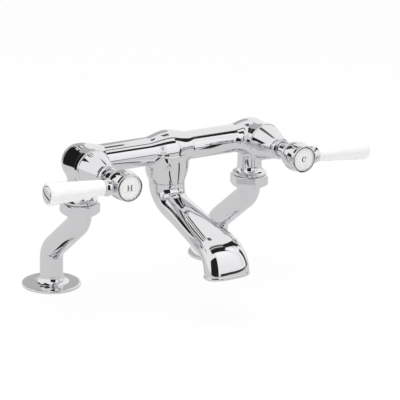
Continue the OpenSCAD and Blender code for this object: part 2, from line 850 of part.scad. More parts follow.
module end_screw(side) {
    shoulder_at = head_foot + head_t - head_dome - head_round;
    crown = [for (a = [0:12:72])
        [end_screw_r - head_round + head_round * cos(a), shoulder_at + head_round * sin(a)]];
    color(CHROME)
    at_lever(side) translate([0, -lever_at, 0]) to_side()
    difference() {
        rotate_extrude()
            polygon(concat([[0, head_foot], [end_screw_r, head_foot]], crown,
                [[0, head_foot + head_t]]));
        translate([0, 0, head_foot - past]) cylinder(h = rod_end - head_foot + past, r = rod_r);
        rotate([0, 0, slot_angle])
            translate([-slot_w / 2, -end_screw_r - past, head_foot + head_t - slot_d])
                cube([slot_w, 2 * (end_screw_r + past), slot_d + past]);
    }
}

mixer_body();
spout();
union_nut(HOT, nut_turn_hot);  // hot_union_nut
union_washer(HOT);  // hot_union_washer
leg(HOT);  // hot_leg
foot_flange(HOT);  // hot_foot_flange
deck_seal(HOT);  // hot_deck_seal
cartridge_seal(HOT);  // hot_cartridge_seal
cartridge_body(HOT);  // hot_cartridge_body
fixed_disc(HOT);  // hot_fixed_disc
moving_disc(HOT);  // hot_moving_disc
spindle(HOT);  // hot_spindle
spindle_seal(HOT);  // hot_spindle_seal
spindle_clip(HOT);  // hot_spindle_clip
bonnet_cover(HOT);  // hot_bonnet_cover
lever_hub(HOT);  // hot_lever_hub
hub_screw(HOT);  // hot_hub_screw
index_disc(HOT);  // hot_index_disc
index_bezel(HOT);  // hot_index_bezel
lever_collar(HOT);  // hot_lever_collar
lever_rod(HOT);  // hot_lever_rod
lever_grip(HOT);  // hot_lever_grip
end_screw(HOT);  // hot_end_screw
union_nut(COLD, nut_turn_cold);  // cold_union_nut
union_washer(COLD);  // cold_union_washer
leg(COLD);  // cold_leg
foot_flange(COLD);  // cold_foot_flange
deck_seal(COLD);  // cold_deck_seal
cartridge_seal(COLD);  // cold_cartridge_seal
cartridge_body(COLD);  // cold_cartridge_body
fixed_disc(COLD);  // cold_fixed_disc
moving_disc(COLD);  // cold_moving_disc
spindle(COLD);  // cold_spindle
spindle_seal(COLD);  // cold_spindle_seal
spindle_clip(COLD);  // cold_spindle_clip
bonnet_cover(COLD);  // cold_bonnet_cover
lever_hub(COLD);  // cold_lever_hub
hub_screw(COLD);  // cold_hub_screw
index_disc(COLD);  // cold_index_disc
index_bezel(COLD);  // cold_index_bezel
lever_collar(COLD);  // cold_lever_collar
lever_rod(COLD);  // cold_lever_rod
lever_grip(COLD);  // cold_lever_grip
end_screw(COLD);  // cold_end_screw
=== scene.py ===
"""Bath filler: smooth cast, turned and drawn pieces, finishes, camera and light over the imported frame."""
import json
from math import acos, atan2, cos, pi, radians, sin, tan

import bpy
import numpy as np
from mathutils import Matrix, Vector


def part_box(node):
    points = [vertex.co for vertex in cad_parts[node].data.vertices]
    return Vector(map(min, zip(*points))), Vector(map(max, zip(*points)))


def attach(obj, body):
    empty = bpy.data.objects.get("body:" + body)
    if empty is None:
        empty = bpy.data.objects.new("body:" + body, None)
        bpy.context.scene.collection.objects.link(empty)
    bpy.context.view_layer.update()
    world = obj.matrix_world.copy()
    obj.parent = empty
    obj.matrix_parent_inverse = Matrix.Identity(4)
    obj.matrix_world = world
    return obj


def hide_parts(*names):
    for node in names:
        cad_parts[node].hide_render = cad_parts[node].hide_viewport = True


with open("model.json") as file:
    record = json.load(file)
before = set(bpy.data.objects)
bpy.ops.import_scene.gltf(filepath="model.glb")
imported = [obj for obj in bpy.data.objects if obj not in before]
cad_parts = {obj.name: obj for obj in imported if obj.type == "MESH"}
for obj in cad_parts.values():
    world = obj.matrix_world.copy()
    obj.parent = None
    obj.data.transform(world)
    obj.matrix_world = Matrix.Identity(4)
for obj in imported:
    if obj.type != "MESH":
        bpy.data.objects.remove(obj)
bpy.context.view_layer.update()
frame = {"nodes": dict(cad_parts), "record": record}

MM = 0.001


# Places read from the frame, in millimetres

def corners(node):
    """Lowest and highest corner of a CAD node, in millimetres."""
    low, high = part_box(node)
    return np.array(low) / MM, np.array(high) / MM


def middle(node):
    """Middle of a CAD node, in millimetres."""
    low, high = corners(node)
    return (low + high) / 2


INLET_X = middle("cold_foot_flange")[0]
BAR_Y = middle("cold_union_washer")[1]
BAR_Z = middle("cold_bonnet_cover")[2]
NUT_FOOT = corners("cold_union_nut")[0][2]
NUT_TOP = corners("cold_union_nut")[1][2]
SIDES = {"hot": -INLET_X, "cold": INLET_X}


def forward(node):
    """Start and end of a valve piece, as distances from the crossbar axis towards the user."""
    low, high = corners(node)
    return BAR_Y - high[1], BAR_Y - low[1]


# Sizes of the cast body, the spout, the legs and the levers, in millimetres, as in the part's source

FILM = 0.05  # gap left between pieces that touch

BAR_R = 13.0
BALL_R = 16.99
CHAMBER_R = 16.8
SWELL_SPAN = 22.0
NECK_R = 21.0
NECK_DEPTH = 16.2
NECK_DROP = 30.0
NECK_TOP = 5.0
NECK_WIDE_AT = 16.0
NECK_FILLET = 3.0
BOSS_R = 15.3
BOSS_LEN = forward("cold_bonnet_cover")[0]
BOSS_FILLET = 2.5
RING_R = 17.19
RING_LEN = 6.8
RING_EDGE = 1.3
STUB_R = 11.4
STUB_LEN = 28.0
STUB_FILLET = 3.5
FLARE_H = 6.5
FLARE_R = 16.0
SHOULDER = STUB_LEN + FLARE_H + 2.0

SPOUT_ROOT_R = 16.4
SPOUT_BEND_R = 22.0
SPOUT_SLOPE = radians(12.5)
SPOUT_RUN = 70.8
NOSE_BEND_R = 22.0
MOUTH_DROP = 1.3
WAIST = (14.5, 11.0)
NOSE = (19.5, 10.2)
MOUTH = (21.73, 10.2)
SPOUT_WALL = 2.2
LIP = 0.56
LIP_H = 2.4

NUT_HALF_WIDTH = 31.5 / 2
LEG_R = 10.7
LEG_BORE_R = 7.4
LEG_BEND_R = 18.0
LEG_TURN = radians(52.0)
TAIL_THREAD_R = 8.3
TAIL_THREAD_LEN = 12.0
TAIL_THREAD_PITCH = 1.81
TAIL_THREAD_DEPTH = 0.75

HUB_FRONT = forward("cold_index_bezel")[0]
HUB_LEN = 18.0
HEAD_FACE_R = 12.4
DISC_R = 10.9
DISC_T = 2.5
DISC_DOME = 0.3
DISC_BACK = HUB_FRONT + FILM
LEVER_LEAN = radians(2.0)
LEVER_AT = HUB_FRONT - 7.6
STEM_R = 5.4
COLLAR_START = 13.6
COLLAR_LEN = 6.8
COLLAR_R = 8.0
GRIP_START = COLLAR_START + COLLAR_LEN + FILM
GRIP_LEN = 54.0
GRIP_START_R = 6.7
GRIP_END_R = 10.0
ROD_BORE_R = 2.8
END_SCREW_R = 7.2

# How finely the pieces are drawn: sides of a turned piece, and the bend past which an edge is crisp

FOOT_SIDES = 144
VALVE_SIDES = 128
LEVER_SIDES = 112
STEM_SIDES = 96
LEG_SIDES = 72
SPOUT_SIDES = 112
CRISP_BEND = radians(35)


# Mesh helpers

def mesh_piece(name, shape, slot, body, nodes, material=None, bare=None):
    """A finished piece from points in millimetres, faces and corner normals, or None for its own normals."""
    points, faces, normals = shape
    mesh = bpy.data.meshes.new(name)
    mesh.from_pydata((np.asarray(points) * MM).tolist(), [], faces)
    mesh.materials.append(material or SLOT_FINISH[slot])
    mesh.shade_smooth()
    if normals is None:
        mesh.set_sharp_from_angle(angle=CRISP_BEND)
    else:
        mesh.normals_split_custom_set(normals)
    # Painted shade per point, dark in the end screw's slot, read by the chrome finish
    if bare is not None:
        mesh.attributes.new("bare_in_slot", "FLOAT", "POINT").data.foreach_set("value", bare)
    placed(in_scene(name, mesh), body, nodes)


def side_piece(side, name, shape, node, slot="chrome", body=None, **extra):
    """A finished piece of one side in place of its CAD node, on the lever unless it has another body."""
    nodes = [f"{side}_{node}"] if node else []
    mesh_piece(f"{side}_{name}", shape, slot, body or f"{side}_lever", nodes, **extra)


def in_scene(name, data):
    """A new object of the scene, for a mesh, a lamp or a camera."""
    holder = bpy.data.objects.new(name, data)
    bpy.context.scene.collection.objects.link(holder)
    return holder


def placed(piece, body, nodes):
    """Lets a finished piece ride on its body in place of the CAD nodes it draws."""
    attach(piece, body)
    if nodes:
        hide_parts(*nodes)


def xyz(p):
    """The three coordinates of points."""
    return p[..., 0], p[..., 1], p[..., 2]


def soft_min(a, b, blend):
    """The smaller of two distances, with a fillet where they meet."""
    near = np.maximum(blend - np.abs(a - b), 0) / blend
    return np.minimum(a, b) - near * near * blend / 4


def soft_max(a, b, blend):
    """The larger of two distances, with a rounded edge where they meet."""
    return -soft_min(-a, -b, blend)


def slope(distance, points, reach=0.02):
    """Gradient of a distance function at points."""
    rise = []
    for axis in range(3):
        shift = np.zeros(3)
        shift[axis] = reach
        rise.append((distance(points + shift) - distance(points - shift)) / (2 * reach))
    return np.stack(rise, -1)


def skin(distance, low, high, step):
    """Points, faces and corner normals of the closed surface where a distance function is zero."""
    axes = [np.arange(a, b + step, step) for a, b in zip(low, high)]
    grid = np.stack(np.meshgrid(*axes, indexing="ij"), -1)
    inside = distance(grid) < 0
    cells = tuple(n - 1 for n in inside.shape)
    count = np.zeros(cells, int)
    for i, j, k in np.ndindex(2, 2, 2):
        count += inside[i:i + cells[0], j:j + cells[1], k:k + cells[2]]
    mixed = (count > 0) & (count < 8)
    number = np.full(cells, -1)
    number[mixed] = np.arange(mixed.sum())
    points = grid[:-1, :-1, :-1][mixed] + step / 2
    faces = []
    for axis in range(3):
        order = (axis, (axis + 1) % 3, (axis + 2) % 3)
        filled = inside.transpose(order)
        cell = number.transpose(order)
        here = filled[:-1, 1:-1, 1:-1]
        there = filled[1:, 1:-1, 1:-1]
        ring = np.stack([cell[:, :-1, :-1], cell[:, 1:, :-1], cell[:, 1:, 1:], cell[:, :-1, 1:]], -1)
        faces.append(ring[here & ~there])
        faces.append(ring[there & ~here][:, ::-1])
    for _ in range(8):
        rise = slope(distance, points)
        move = distance(points) / np.maximum((rise * rise).sum(-1), 0.05)
        points = points - np.clip(move, -step, step)[:, None] * rise
    normals = slope(distance, points)
    normals /= np.linalg.norm(normals, axis=-1, keepdims=True)
    faces = np.concatenate(faces)
    return points, faces.tolist(), normals[faces].reshape(-1, 3)


def outline(corners_in, steps=6):
    """Stretches of an outline through corners of (radius, distance) or (radius, distance, rounding).

    Each stretch is its two ends and the outward normal at each. The outline runs so that the
    outside lies on its right, and round corners keep true normals, so reflections stay clean.
    """
    stretches = []
    start = np.array(corners_in[0][:2], float)
    for i in range(1, len(corners_in)):
        corner = np.array(corners_in[i][:2], float)
        if len(corners_in[i]) == 2:
            stretches.append(flat_stretch(start, corner))
            start = corner
            continue
        back = np.array(corners_in[i - 1][:2]) - corner
        ahead = np.array(corners_in[i + 1][:2]) - corner
        reach = (np.linalg.norm(back), np.linalg.norm(ahead))
        back /= reach[0]
        ahead /= reach[1]
        half = acos(np.clip(back @ ahead, -1, 1)) / 2
        cut = min(corners_in[i][2] / tan(half), 0.48 * reach[0], 0.48 * reach[1])
        radius = cut * tan(half)
        centre = corner + (back + ahead) / np.linalg.norm(back + ahead) * radius / sin(half)
        tangent_in = corner + back * cut
        tangent_out = corner + ahead * cut
        stretches.append(flat_stretch(start, tangent_in))
        turn_from = atan2(*(tangent_in - centre)[::-1])
        turn_to = atan2(*(tangent_out - centre)[::-1])
        sweep = (turn_to - turn_from + pi) % (2 * pi) - pi
        bulge = np.sign(-sweep)
        angles = turn_from + sweep * np.linspace(0, 1, steps + 1)
        ring = np.stack([np.cos(angles), np.sin(angles)], -1)
        for a, b in zip(ring[:-1], ring[1:]):
            stretches.append((centre + radius * a, centre + radius * b, -bulge * a, -bulge * b))
        start = tangent_out
    return stretches


def flat_stretch(a, b):
    """A straight stretch, whose normal is the same at both ends."""
    along = (b - a) / max(np.linalg.norm(b - a), 1e-9)
    normal = np.array([along[1], -along[0]])
    return a, b, normal, normal


def curve_stretches(points):
    """Stretches through points on a smooth curve, with the curve's own normals."""
    points = np.asarray(points, float)
    along = np.gradient(points, axis=0)
    along /= np.linalg.norm(along, axis=1, keepdims=True)
    normals = np.stack([along[:, 1], -along[:, 0]], -1)
    return [(points[i], points[i + 1], normals[i], normals[i + 1]) for i in range(len(points) - 1)]


def turned(stretches, place, steps):
    """An outline turned about the local Z of a placed frame."""
    angles = np.linspace(0, 2 * pi, steps, endpoint=False)
    ring = np.stack([np.cos(angles), np.sin(angles)], -1)
    points, faces, normals = [], [], []
    known = {}

    def circle(p):
        key = (round(p[0], 5), round(p[1], 5))
        if key not in known:
            known[key] = len(points)
            if p[0] < 1e-6:
                points.append((0.0, 0.0, p[1]))
            else:
                points.extend((p[0] * c, p[0] * s, p[1]) for c, s in ring)
        return known[key], p[0] < 1e-6

    def facing(n, i):
        c, s = ring[i % steps]
        return (n[0] * c, n[0] * s, n[1])

    for a, b, normal_a, normal_b in stretches:
        if np.linalg.norm(np.subtract(a, b)) < 1e-6:
            continue
        (first, pole_a), (second, pole_b) = circle(a), circle(b)
        for i in range(steps):
            j = (i + 1) % steps
            if pole_a:
                faces.append((first, second + j, second + i))
                normals += [facing(normal_a, i), facing(normal_b, j), facing(normal_b, i)]
            elif pole_b:
                faces.append((first + i, first + j, second))
                normals += [facing(normal_a, i), facing(normal_a, j), facing(normal_b, i)]
            else:
                faces.append((first + i, first + j, second + j, second + i))
                normals += [facing(normal_a, i), facing(normal_a, j),
                            facing(normal_b, j), facing(normal_b, i)]
    return stood((points, faces, np.array(normals)), place)


def stood(shape, place):
    """A shape of points, faces and corner normals, moved into a placed frame."""
    points, faces, normals = shape
    turn, shift = place
    return np.asarray(points) @ turn.T + shift, faces, None if normals is None else normals @ turn.T


def joined(*parts):
    """Several shapes of points, faces and corner normals as one."""
    points, faces, normals, count = [], [], [], 0
    for part_points, part_faces, part_normals in parts:
        points.append(part_points)
        faces += [tuple(v + count for v in face) for face in part_faces]
        normals.append(part_normals)
        count += len(part_points)
    return np.concatenate(points), faces, np.concatenate(normals)


def bead(radius, fall, start, length, steps):
    """Curve of a rounded bead, cut off 75 degrees to each side of its widest ring."""
    return [(radius - fall * (1 - cos(a)), start + length / 2 * (1 + sin(a)))
            for a in np.radians(np.linspace(-75, 75, steps))]


# Frames that a piece stands in: a turned piece has its axis along their local Z

def upright(x, y, z):
    """Local Z up, at a point."""
    return np.eye(3), np.array([x, y, z])


def chamber_middle(side):
    """Middle of a valve chamber, on the crossbar axis."""
    return np.array([SIDES[side], BAR_Y, BAR_Z])


def lean(side):
    """Turn about the valve axis that points local X along the lever."""
    angle = LEVER_LEAN + (pi if side == "hot" else 0)
    c, s = cos(angle), sin(angle)
    return np.array([[c, 0, s], [0, 1, 0], [-s, 0, c]])


def on_valve(side):
    """Local Z towards the user along the valve, with local X along the lever."""
    to_user = np.array([[1, 0, 0], [0, 0, -1], [0, 1, 0]])
    return lean(side) @ to_user, chamber_middle(side)


def on_lever(side):
    """Local Z outwards along the lever."""
    to_side = np.array([[0, 0, 1], [0, 1, 0], [-1, 0, 0]])
    turn = lean(side)
    return turn @ to_side, chamber_middle(side) + turn @ np.array([0, -LEVER_AT, 0])


# Finishes

def linear(hex_colour):
    """sRGB hex colour as the linear RGBA that a shader takes."""
    values = [int(hex_colour[i:i + 2], 16) / 255 for i in (1, 3, 5)]
    return tuple(v / 12.92 if v <= 0.04045 else ((v + 0.055) / 1.055) ** 2.4 for v in values) + (1.0,)


def add(tree, kind, inputs=None, ramp=(), **settings):
    """Adds a node with its settings and its ramp's stops.

    Inputs are values, sockets to link from, or nodes whose first socket is linked from.
    """
    node = tree.nodes.new(kind)
    for name, value in settings.items():
        setattr(node, name, value)
    for i, (position, colour) in enumerate(ramp):
        node.color_ramp.elements[i].position = position
        node.color_ramp.elements[i].color = linear(colour)
    for name, value in (inputs or {}).items():
        source = value.outputs[0] if isinstance(value, bpy.types.Node) else value
        if isinstance(source, bpy.types.NodeSocket):
            tree.links.new(source, node.inputs[name])
        else:
            node.inputs[name].default_value = source
    return node


def bare_tree(holder):
    """The emptied node tree of a new material or world."""
    holder.use_nodes = True
    holder.node_tree.nodes.clear()
    return holder.node_tree


def new_finish(name):
    """A new material, its tree and the Object coordinates that its patterns lie on."""
    material = bpy.data.materials.new(name)
    tree = bare_tree(material)
    return material, tree, add(tree, "ShaderNodeTexCoord").outputs["Object"]


def shaded(material, inputs):
    """Ends a finish with the Principled shader that its patterns feed."""
    shader = add(material.node_tree, "ShaderNodeBsdfPrincipled", inputs)
    add(material.node_tree, "ShaderNodeOutputMaterial", {"Surface": shader})
    return material


def per_metre(width):
    """Scale of a pattern on Object coordinates, from the real width of its features in millimetres."""
    return 1 / (width * MM)


def polished_chrome():
    """Chromium plate over buffed brass: a bright, slightly blue-grey mirror."""
    material, tree, place = new_finish("polished_chrome_plate")
    # The buffing wheel leaves hazier patches about 22 mm across: the mirror softens there a little
    haze = add(tree, "ShaderNodeTexNoise", {"Vector": place, "Scale": per_metre(22.2), "Detail": 3.0})
    rough = add(tree, "ShaderNodeMapRange", {
        "Value": haze, "From Min": 0.35, "From Max": 0.7, "To Min": 0.03, "To Max": 0.075})
    # Painted shade: where the mesh marks a screw's slot, the colour turns dark grey so the slot reads as a
    # dark line; the finish is rougher there too
    bare = add(tree, "ShaderNodeAttribute", attribute_name="bare_in_slot").outputs["Fac"]
    plate, painted_slot_shade = linear("#E4E4E6"), linear("#37373A")
    tone = add(tree, "ShaderNodeMix", {0: bare, 6: plate, 7: painted_slot_shade}, data_type="RGBA")
    dull = add(tree, "ShaderNodeMath", {0: bare, 1: 0.4, 2: rough},
               operation="MULTIPLY_ADD")
    # Cast brass under the plate is never dead flat: low waves, 14 mm apart, bend the reflections slightly
    wave = add(tree, "ShaderNodeTexNoise", {"Vector": place, "Scale": per_metre(14.3), "Detail": 1.0})
    bump = add(tree, "ShaderNodeBump", {"Height": wave, "Strength": 0.05, "Distance": 0.0004})
    return shaded(material, {"Base Color": tone.outputs[2], "Metallic": 1.0,
                             "Roughness": dull, "Normal": bump})


def glazed_porcelain():
    """White porcelain under a clear glaze: soft white body with a sharp gloss on top."""
    material, tree, place = new_finish("glazed_white_porcelain")
    # Glaze pools unevenly over the fired body: a 6 mm mottle barely warmer than the white
    mottle = add(tree, "ShaderNodeTexNoise", {"Vector": place, "Scale": per_metre(6.25), "Detail": 4.0})
    tone = add(tree, "ShaderNodeValToRGB", {"Fac": mottle}, ramp=((0.3, "#F3F3F2"), (0.75, "#F9F9F9")))
    # Orange peel of a fired glaze, 4 mm from dimple to dimple
    dimple = add(tree, "ShaderNodeTexNoise", {"Vector": place, "Scale": per_metre(3.85), "Detail": 2.0})
    bump = add(tree, "ShaderNodeBump", {"Height": dimple, "Strength": 0.08, "Distance": 0.0003})
    return shaded(material, {
        "Base Color": tone, "Roughness": 0.22, "IOR": 1.5, "Coat Weight": 0.6,
        "Coat Roughness": 0.05, "Subsurface Weight": 0.15, "Subsurface Scale": 0.002,
        "Subsurface Radius": (1.0, 0.9, 0.8), "Normal": bump})


def machined_brass():
    """Turned brass of the cartridge, spindle and screws: fine rings left by the tool."""
    material, tree, place = new_finish("machined_brass")
    # The tool feeds 0.1 mm a turn, too fine to show: its rings are drawn 0.35 mm apart. This texture has
    # ten bands to every pi of its unit
    ring_pitch = 0.35
    rings = add(tree, "ShaderNodeTexWave", {
        "Vector": place, "Scale": per_metre(ring_pitch) * pi / 10, "Distortion": 0.6},
        wave_type="BANDS", bands_direction="Y")
    rough = add(tree, "ShaderNodeMapRange", {"Value": rings.outputs["Fac"], "To Min": 0.2, "To Max": 0.36})
    bump = add(tree, "ShaderNodeBump", {
        "Height": rings.outputs["Fac"], "Strength": 0.2, "Distance": 0.00005})
    return shaded(material, {"Base Color": linear("#C9A052"), "Metallic": 1.0,
                             "Roughness": rough, "Normal": bump})


def moulded_rubber():
    """Black nitrile of the seals: matt, with a faint dusty grain."""
    material, tree, place = new_finish("moulded_nitrile_rubber")
    # The mould's own grain is finer than 0.1 mm and wouldn't show: it is drawn 1.1 mm wide
    grain = add(tree, "ShaderNodeTexNoise", {"Vector": place, "Scale": per_metre(1.11), "Detail": 3.0})
    tone = add(tree, "ShaderNodeValToRGB", {"Fac": grain}, ramp=((0.0, "#161617"), (1.0, "#2A2A2B")))
    bump = add(tree, "ShaderNodeBump", {"Height": grain, "Strength": 0.3, "Distance": 0.00005})
    return shaded(material, {"Base Color": tone, "Roughness": 0.75, "Normal": bump})


def lapped_alumina():
    """Alumina valve discs: ivory ceramic ground flat, with a dull sheen."""
    material, tree, place = new_finish("lapped_alumina")
    # Alumina's grains are a few thousandths of a millimetre: the speckle is drawn 0.8 mm wide to show
    speck = add(tree, "ShaderNodeTexNoise", {"Vector": place, "Scale": per_metre(0.83), "Detail": 2.0})
    tone = add(tree, "ShaderNodeValToRGB", {"Fac": speck}, ramp=((0.0, "#E2DBC8"), (1.0, "#F0EBDD")))
    return shaded(material, {"Base Color": tone, "Roughness": 0.35, "IOR": 1.7})


def fired_letter_ink():
    """Black enamel of the hot and cold letters, fired into the glaze: dark, with a soft gloss."""
    material, tree, place = new_finish("fired_letter_enamel")
    # Brush strokes of the enamel, two thirds of a millimetre wide
    grain = add(tree, "ShaderNodeTexNoise", {"Vector": place, "Scale": per_metre(0.67), "Detail": 2.0})
    tone = add(tree, "ShaderNodeValToRGB", {"Fac": grain}, ramp=((0.0, "#212120"), (1.0, "#353534")))
    return shaded(material, {"Base Color": tone, "Roughness": 0.35,
                             "Coat Weight": 0.5, "Coat Roughness": 0.1})


LETTER_INK = fired_letter_ink()
SLOT_FINISH = {"chrome": polished_chrome(), "porcelain": glazed_porcelain(), "brass": machined_brass(),
               "rubber": moulded_rubber(), "alumina": lapped_alumina()}
for part in frame["record"]["subparts"]:
    node = frame["nodes"][part["node"]]
    for place_in_mesh in node.material_slots:
        place_in_mesh.material = SLOT_FINISH[part["material_slot"]]


# Cast body

def swell(u):
    """Height of a smooth swelling, 1 in its middle and 0 at its ends."""
    return np.where(np.abs(u) < 1, (1 - u * u) ** 2, 0.0)


def body_distance(p):
    """Distance to the cast body, from a point given from the middle of the crossbar axis."""
    x, y, z = xyz(p)
    out = np.abs(x)
    along = np.minimum(out, INLET_X)
    radius = (BAR_R + (BALL_R - BAR_R) * swell(along / SWELL_SPAN)
              + (CHAMBER_R - BAR_R) * swell((INLET_X - along) / SWELL_SPAN))
    bar = np.sqrt((out - along) ** 2 + y ** 2 + z ** 2) - radius
    across = out - INLET_X
    into_ring, into_flare = 1, 3
    boss = np.maximum(np.hypot(across, z) - BOSS_R, np.maximum(y, -y - (BOSS_LEN - RING_LEN + into_ring)))
    stub = np.maximum(np.hypot(across, y) - STUB_R, np.maximum(z, -z - STUB_LEN - into_flare))
    fall = np.cos(np.pi / 2 * np.clip((-z - NECK_WIDE_AT) / (NECK_DROP - NECK_WIDE_AT), 0, 1))
    neck_r = SPOUT_ROOT_R + (NECK_R - SPOUT_ROOT_R) * fall
    neck = (np.hypot(x / neck_r, y / NECK_DEPTH) - 1) * NECK_DEPTH
    neck = np.maximum(neck, np.maximum(NECK_TOP + z, -z - NECK_DROP))
    shape = soft_min(bar, neck, NECK_FILLET)
    shape = soft_min(shape, boss, BOSS_FILLET)
    return soft_min(shape, stub, STUB_FILLET)


def ring_outline():
    """The turned ring at the end of a boss."""
    back = BOSS_LEN - RING_LEN
    return outline([(0, back), (RING_R, back, RING_EDGE), (RING_R, BOSS_LEN, RING_EDGE), (0, BOSS_LEN)])


def flare_outline():
    """The flare and shoulder that the union nut pulls up against, from the nut upwards."""
    curve = [(STUB_R + (FLARE_R - STUB_R) * (1 - cos(a)), -STUB_LEN - FLARE_H * sin(a))
             for a in np.radians(np.linspace(90, 0, 16))]
    rim = outline([(0, -SHOULDER), (FLARE_R, -SHOULDER, 0.6), (FLARE_R, curve[0][1])])
    return rim + curve_stretches(curve) + outline([curve[-1], (0, curve[-1][1])])


def cast_body():
    """Crossbar, chambers, bosses, stubs and neck in one casting, with its turned rings and flares."""
    low = (-INLET_X - CHAMBER_R - 1, -BOSS_LEN, -NECK_DROP - 1)
    high = (INLET_X + CHAMBER_R + 1, CHAMBER_R + 2, CHAMBER_R + 2)
    casting = skin(body_distance, low, high, step=0.75)
    parts = [stood(casting, upright(0, BAR_Y, BAR_Z))]
    for side in SIDES:
        parts.append(turned(ring_outline(), on_valve(side), VALVE_SIDES))
        parts.append(turned(flare_outline(), upright(SIDES[side], BAR_Y, BAR_Z), VALVE_SIDES))
    mesh_piece("cast_body", joined(*parts), "chrome", "mixer", ["mixer_body"])


# Spout

SPOUT_TURN = pi / 2 - SPOUT_SLOPE
BEND_ARC = SPOUT_BEND_R * SPOUT_TURN
RUN_END = BEND_ARC + SPOUT_RUN
NOSE_END = RUN_END + NOSE_BEND_R * SPOUT_TURN
PATH_LEN = NOSE_END + MOUTH_DROP


def arc(angle):
    """Distance forward and height at an angle of a bend of radius 1 that starts straight down."""
    return np.array([1 - cos(angle), -sin(angle)])


def spout_path(s):
    """Distance forward, height and angle from straight down, at a length along the spout."""
    along = np.array([sin(SPOUT_TURN), -cos(SPOUT_TURN)])
    end = SPOUT_BEND_R * arc(SPOUT_TURN)
    run = end + SPOUT_RUN * along
    if s < BEND_ARC:
        a = s / SPOUT_BEND_R
        return SPOUT_BEND_R * arc(a), a
    if s < RUN_END:
        return end + (s - BEND_ARC) * along, SPOUT_TURN
    if s < NOSE_END:
        a = SPOUT_TURN - (s - RUN_END) / NOSE_BEND_R
        return run + NOSE_BEND_R * (arc(SPOUT_TURN) - arc(a)), a
    return run + NOSE_BEND_R * arc(SPOUT_TURN) + np.array([0, NOSE_END - s]), 0.0


def eased(s, keys, values):
    """A smooth curve through key sizes that doesn't overshoot, level at its two ends."""
    keys, values = np.array(keys, float), np.array(values, float)
    gap = np.diff(keys)
    rise = np.diff(values) / gap
    slopes = np.zeros(len(keys))
    for i in range(1, len(keys) - 1):
        if rise[i - 1] * rise[i] > 0:
            slopes[i] = 2 * rise[i - 1] * rise[i] / (rise[i - 1] + rise[i])
    s = min(max(s, keys[0]), keys[-1])
    i = min(int(np.searchsorted(keys, s, side="right")) - 1, len(gap) - 1)
    u = (s - keys[i]) / gap[i]
    return (values[i] * (1 + 2 * u) * (1 - u) ** 2 + values[i + 1] * u * u * (3 - 2 * u)
            + gap[i] * (slopes[i] * u * (1 - u) ** 2 + slopes[i + 1] * u * u * (u - 1)))


SIZE_KEYS = [0.0, BEND_ARC * 0.9, BEND_ARC + SPOUT_RUN * 0.95, NOSE_END]
# The back of the spout is a little fuller than its belly, most of all where it leaves the neck
CROWN = 1.8
CROWN_KEYS = [0.0, BEND_ARC, RUN_END - 15, NOSE_END]
# Round where it leaves the neck, the spout is a rounded box from its nose on: 2 draws a circle
ROUND, BOXY = 2, 2.6
# The front of the mouth keeps leaning out down to its rim
MOUTH_LEAN_AT = PATH_LEN - 9.0
MOUTH_LEAN = 0.004


def spout_ring(s, grow, at=None):
    """One ring of the spout, square to its path, grown outwards by a distance."""
    (ahead, height), angle = spout_path(s if at is None else at)
    half_w = eased(s, SIZE_KEYS, [SPOUT_ROOT_R, WAIST[0], NOSE[0], MOUTH[0]]) + grow
    half_d = eased(s, SIZE_KEYS, [SPOUT_ROOT_R, WAIST[1], NOSE[1], MOUTH[1]]) + grow
    crown = eased(s, CROWN_KEYS, [0, CROWN, CROWN / 2, 0])
    half_d += MOUTH_LEAN * max(s - MOUTH_LEAN_AT, 0) ** 2
    power = 2 / np.interp(s, [0, RUN_END], [ROUND, BOXY])
    t = np.linspace(0, 2 * pi, SPOUT_SIDES, endpoint=False)
    x = half_w * np.sign(np.cos(t)) * np.abs(np.cos(t)) ** power
    u = half_d * np.sign(np.sin(t)) * np.abs(np.sin(t)) ** power
    u = np.where(u > 0, u * (1 + crown / half_d), u)
    return np.stack([x, -(ahead + u * cos(angle)), height + u * sin(angle)], -1)


def lofted(rings):
    """Points and faces between rings of equal count, from the first to the last."""
    n = len(rings[0])
    faces = []
    for j in range(len(rings) - 1):
        for i in range(n):
            a = (i + 1) % n
            faces.append((j * n + i, j * n + a, (j + 1) * n + a, (j + 1) * n + i))
    return np.concatenate(rings), faces


def cast_spout():
    """Swan-neck spout with a bead round its mouth, hollow from the mouth up to its bend."""
    rings = [spout_ring(s, 0) for s in np.linspace(0, PATH_LEN - LIP_H, 132)]
    # The rim stands out as a small rounded bead, fuller than an arc
    fullness = 0.6
    for rise in np.radians(np.linspace(-80, 80, 9)):
        rings.append(spout_ring(PATH_LEN, LIP * cos(rise) ** fullness,
                                PATH_LEN - LIP_H / 2 * (1 - sin(rise))))
    # The inner edge of the mouth is broken by a small bevel
    bevel_w, bevel_h = 0.5, 0.6
    rings.append(spout_ring(PATH_LEN, -SPOUT_WALL + bevel_w, PATH_LEN))
    rings.append(spout_ring(PATH_LEN, -SPOUT_WALL, PATH_LEN - bevel_h))
    for s in np.linspace(PATH_LEN - 2, BEND_ARC, 60):
        rings.append(spout_ring(s, -SPOUT_WALL))
    points, faces = lofted(rings)
    faces.append(tuple(range(SPOUT_SIDES))[::-1])
    faces.append(tuple(range(len(points) - SPOUT_SIDES, len(points))))
    neck_foot = upright(0, BAR_Y, BAR_Z - NECK_DROP)
    mesh_piece("swan_neck_spout", stood((points, faces, None), neck_foot), "chrome", "mixer", ["spout"])


# Union nuts, legs and feet

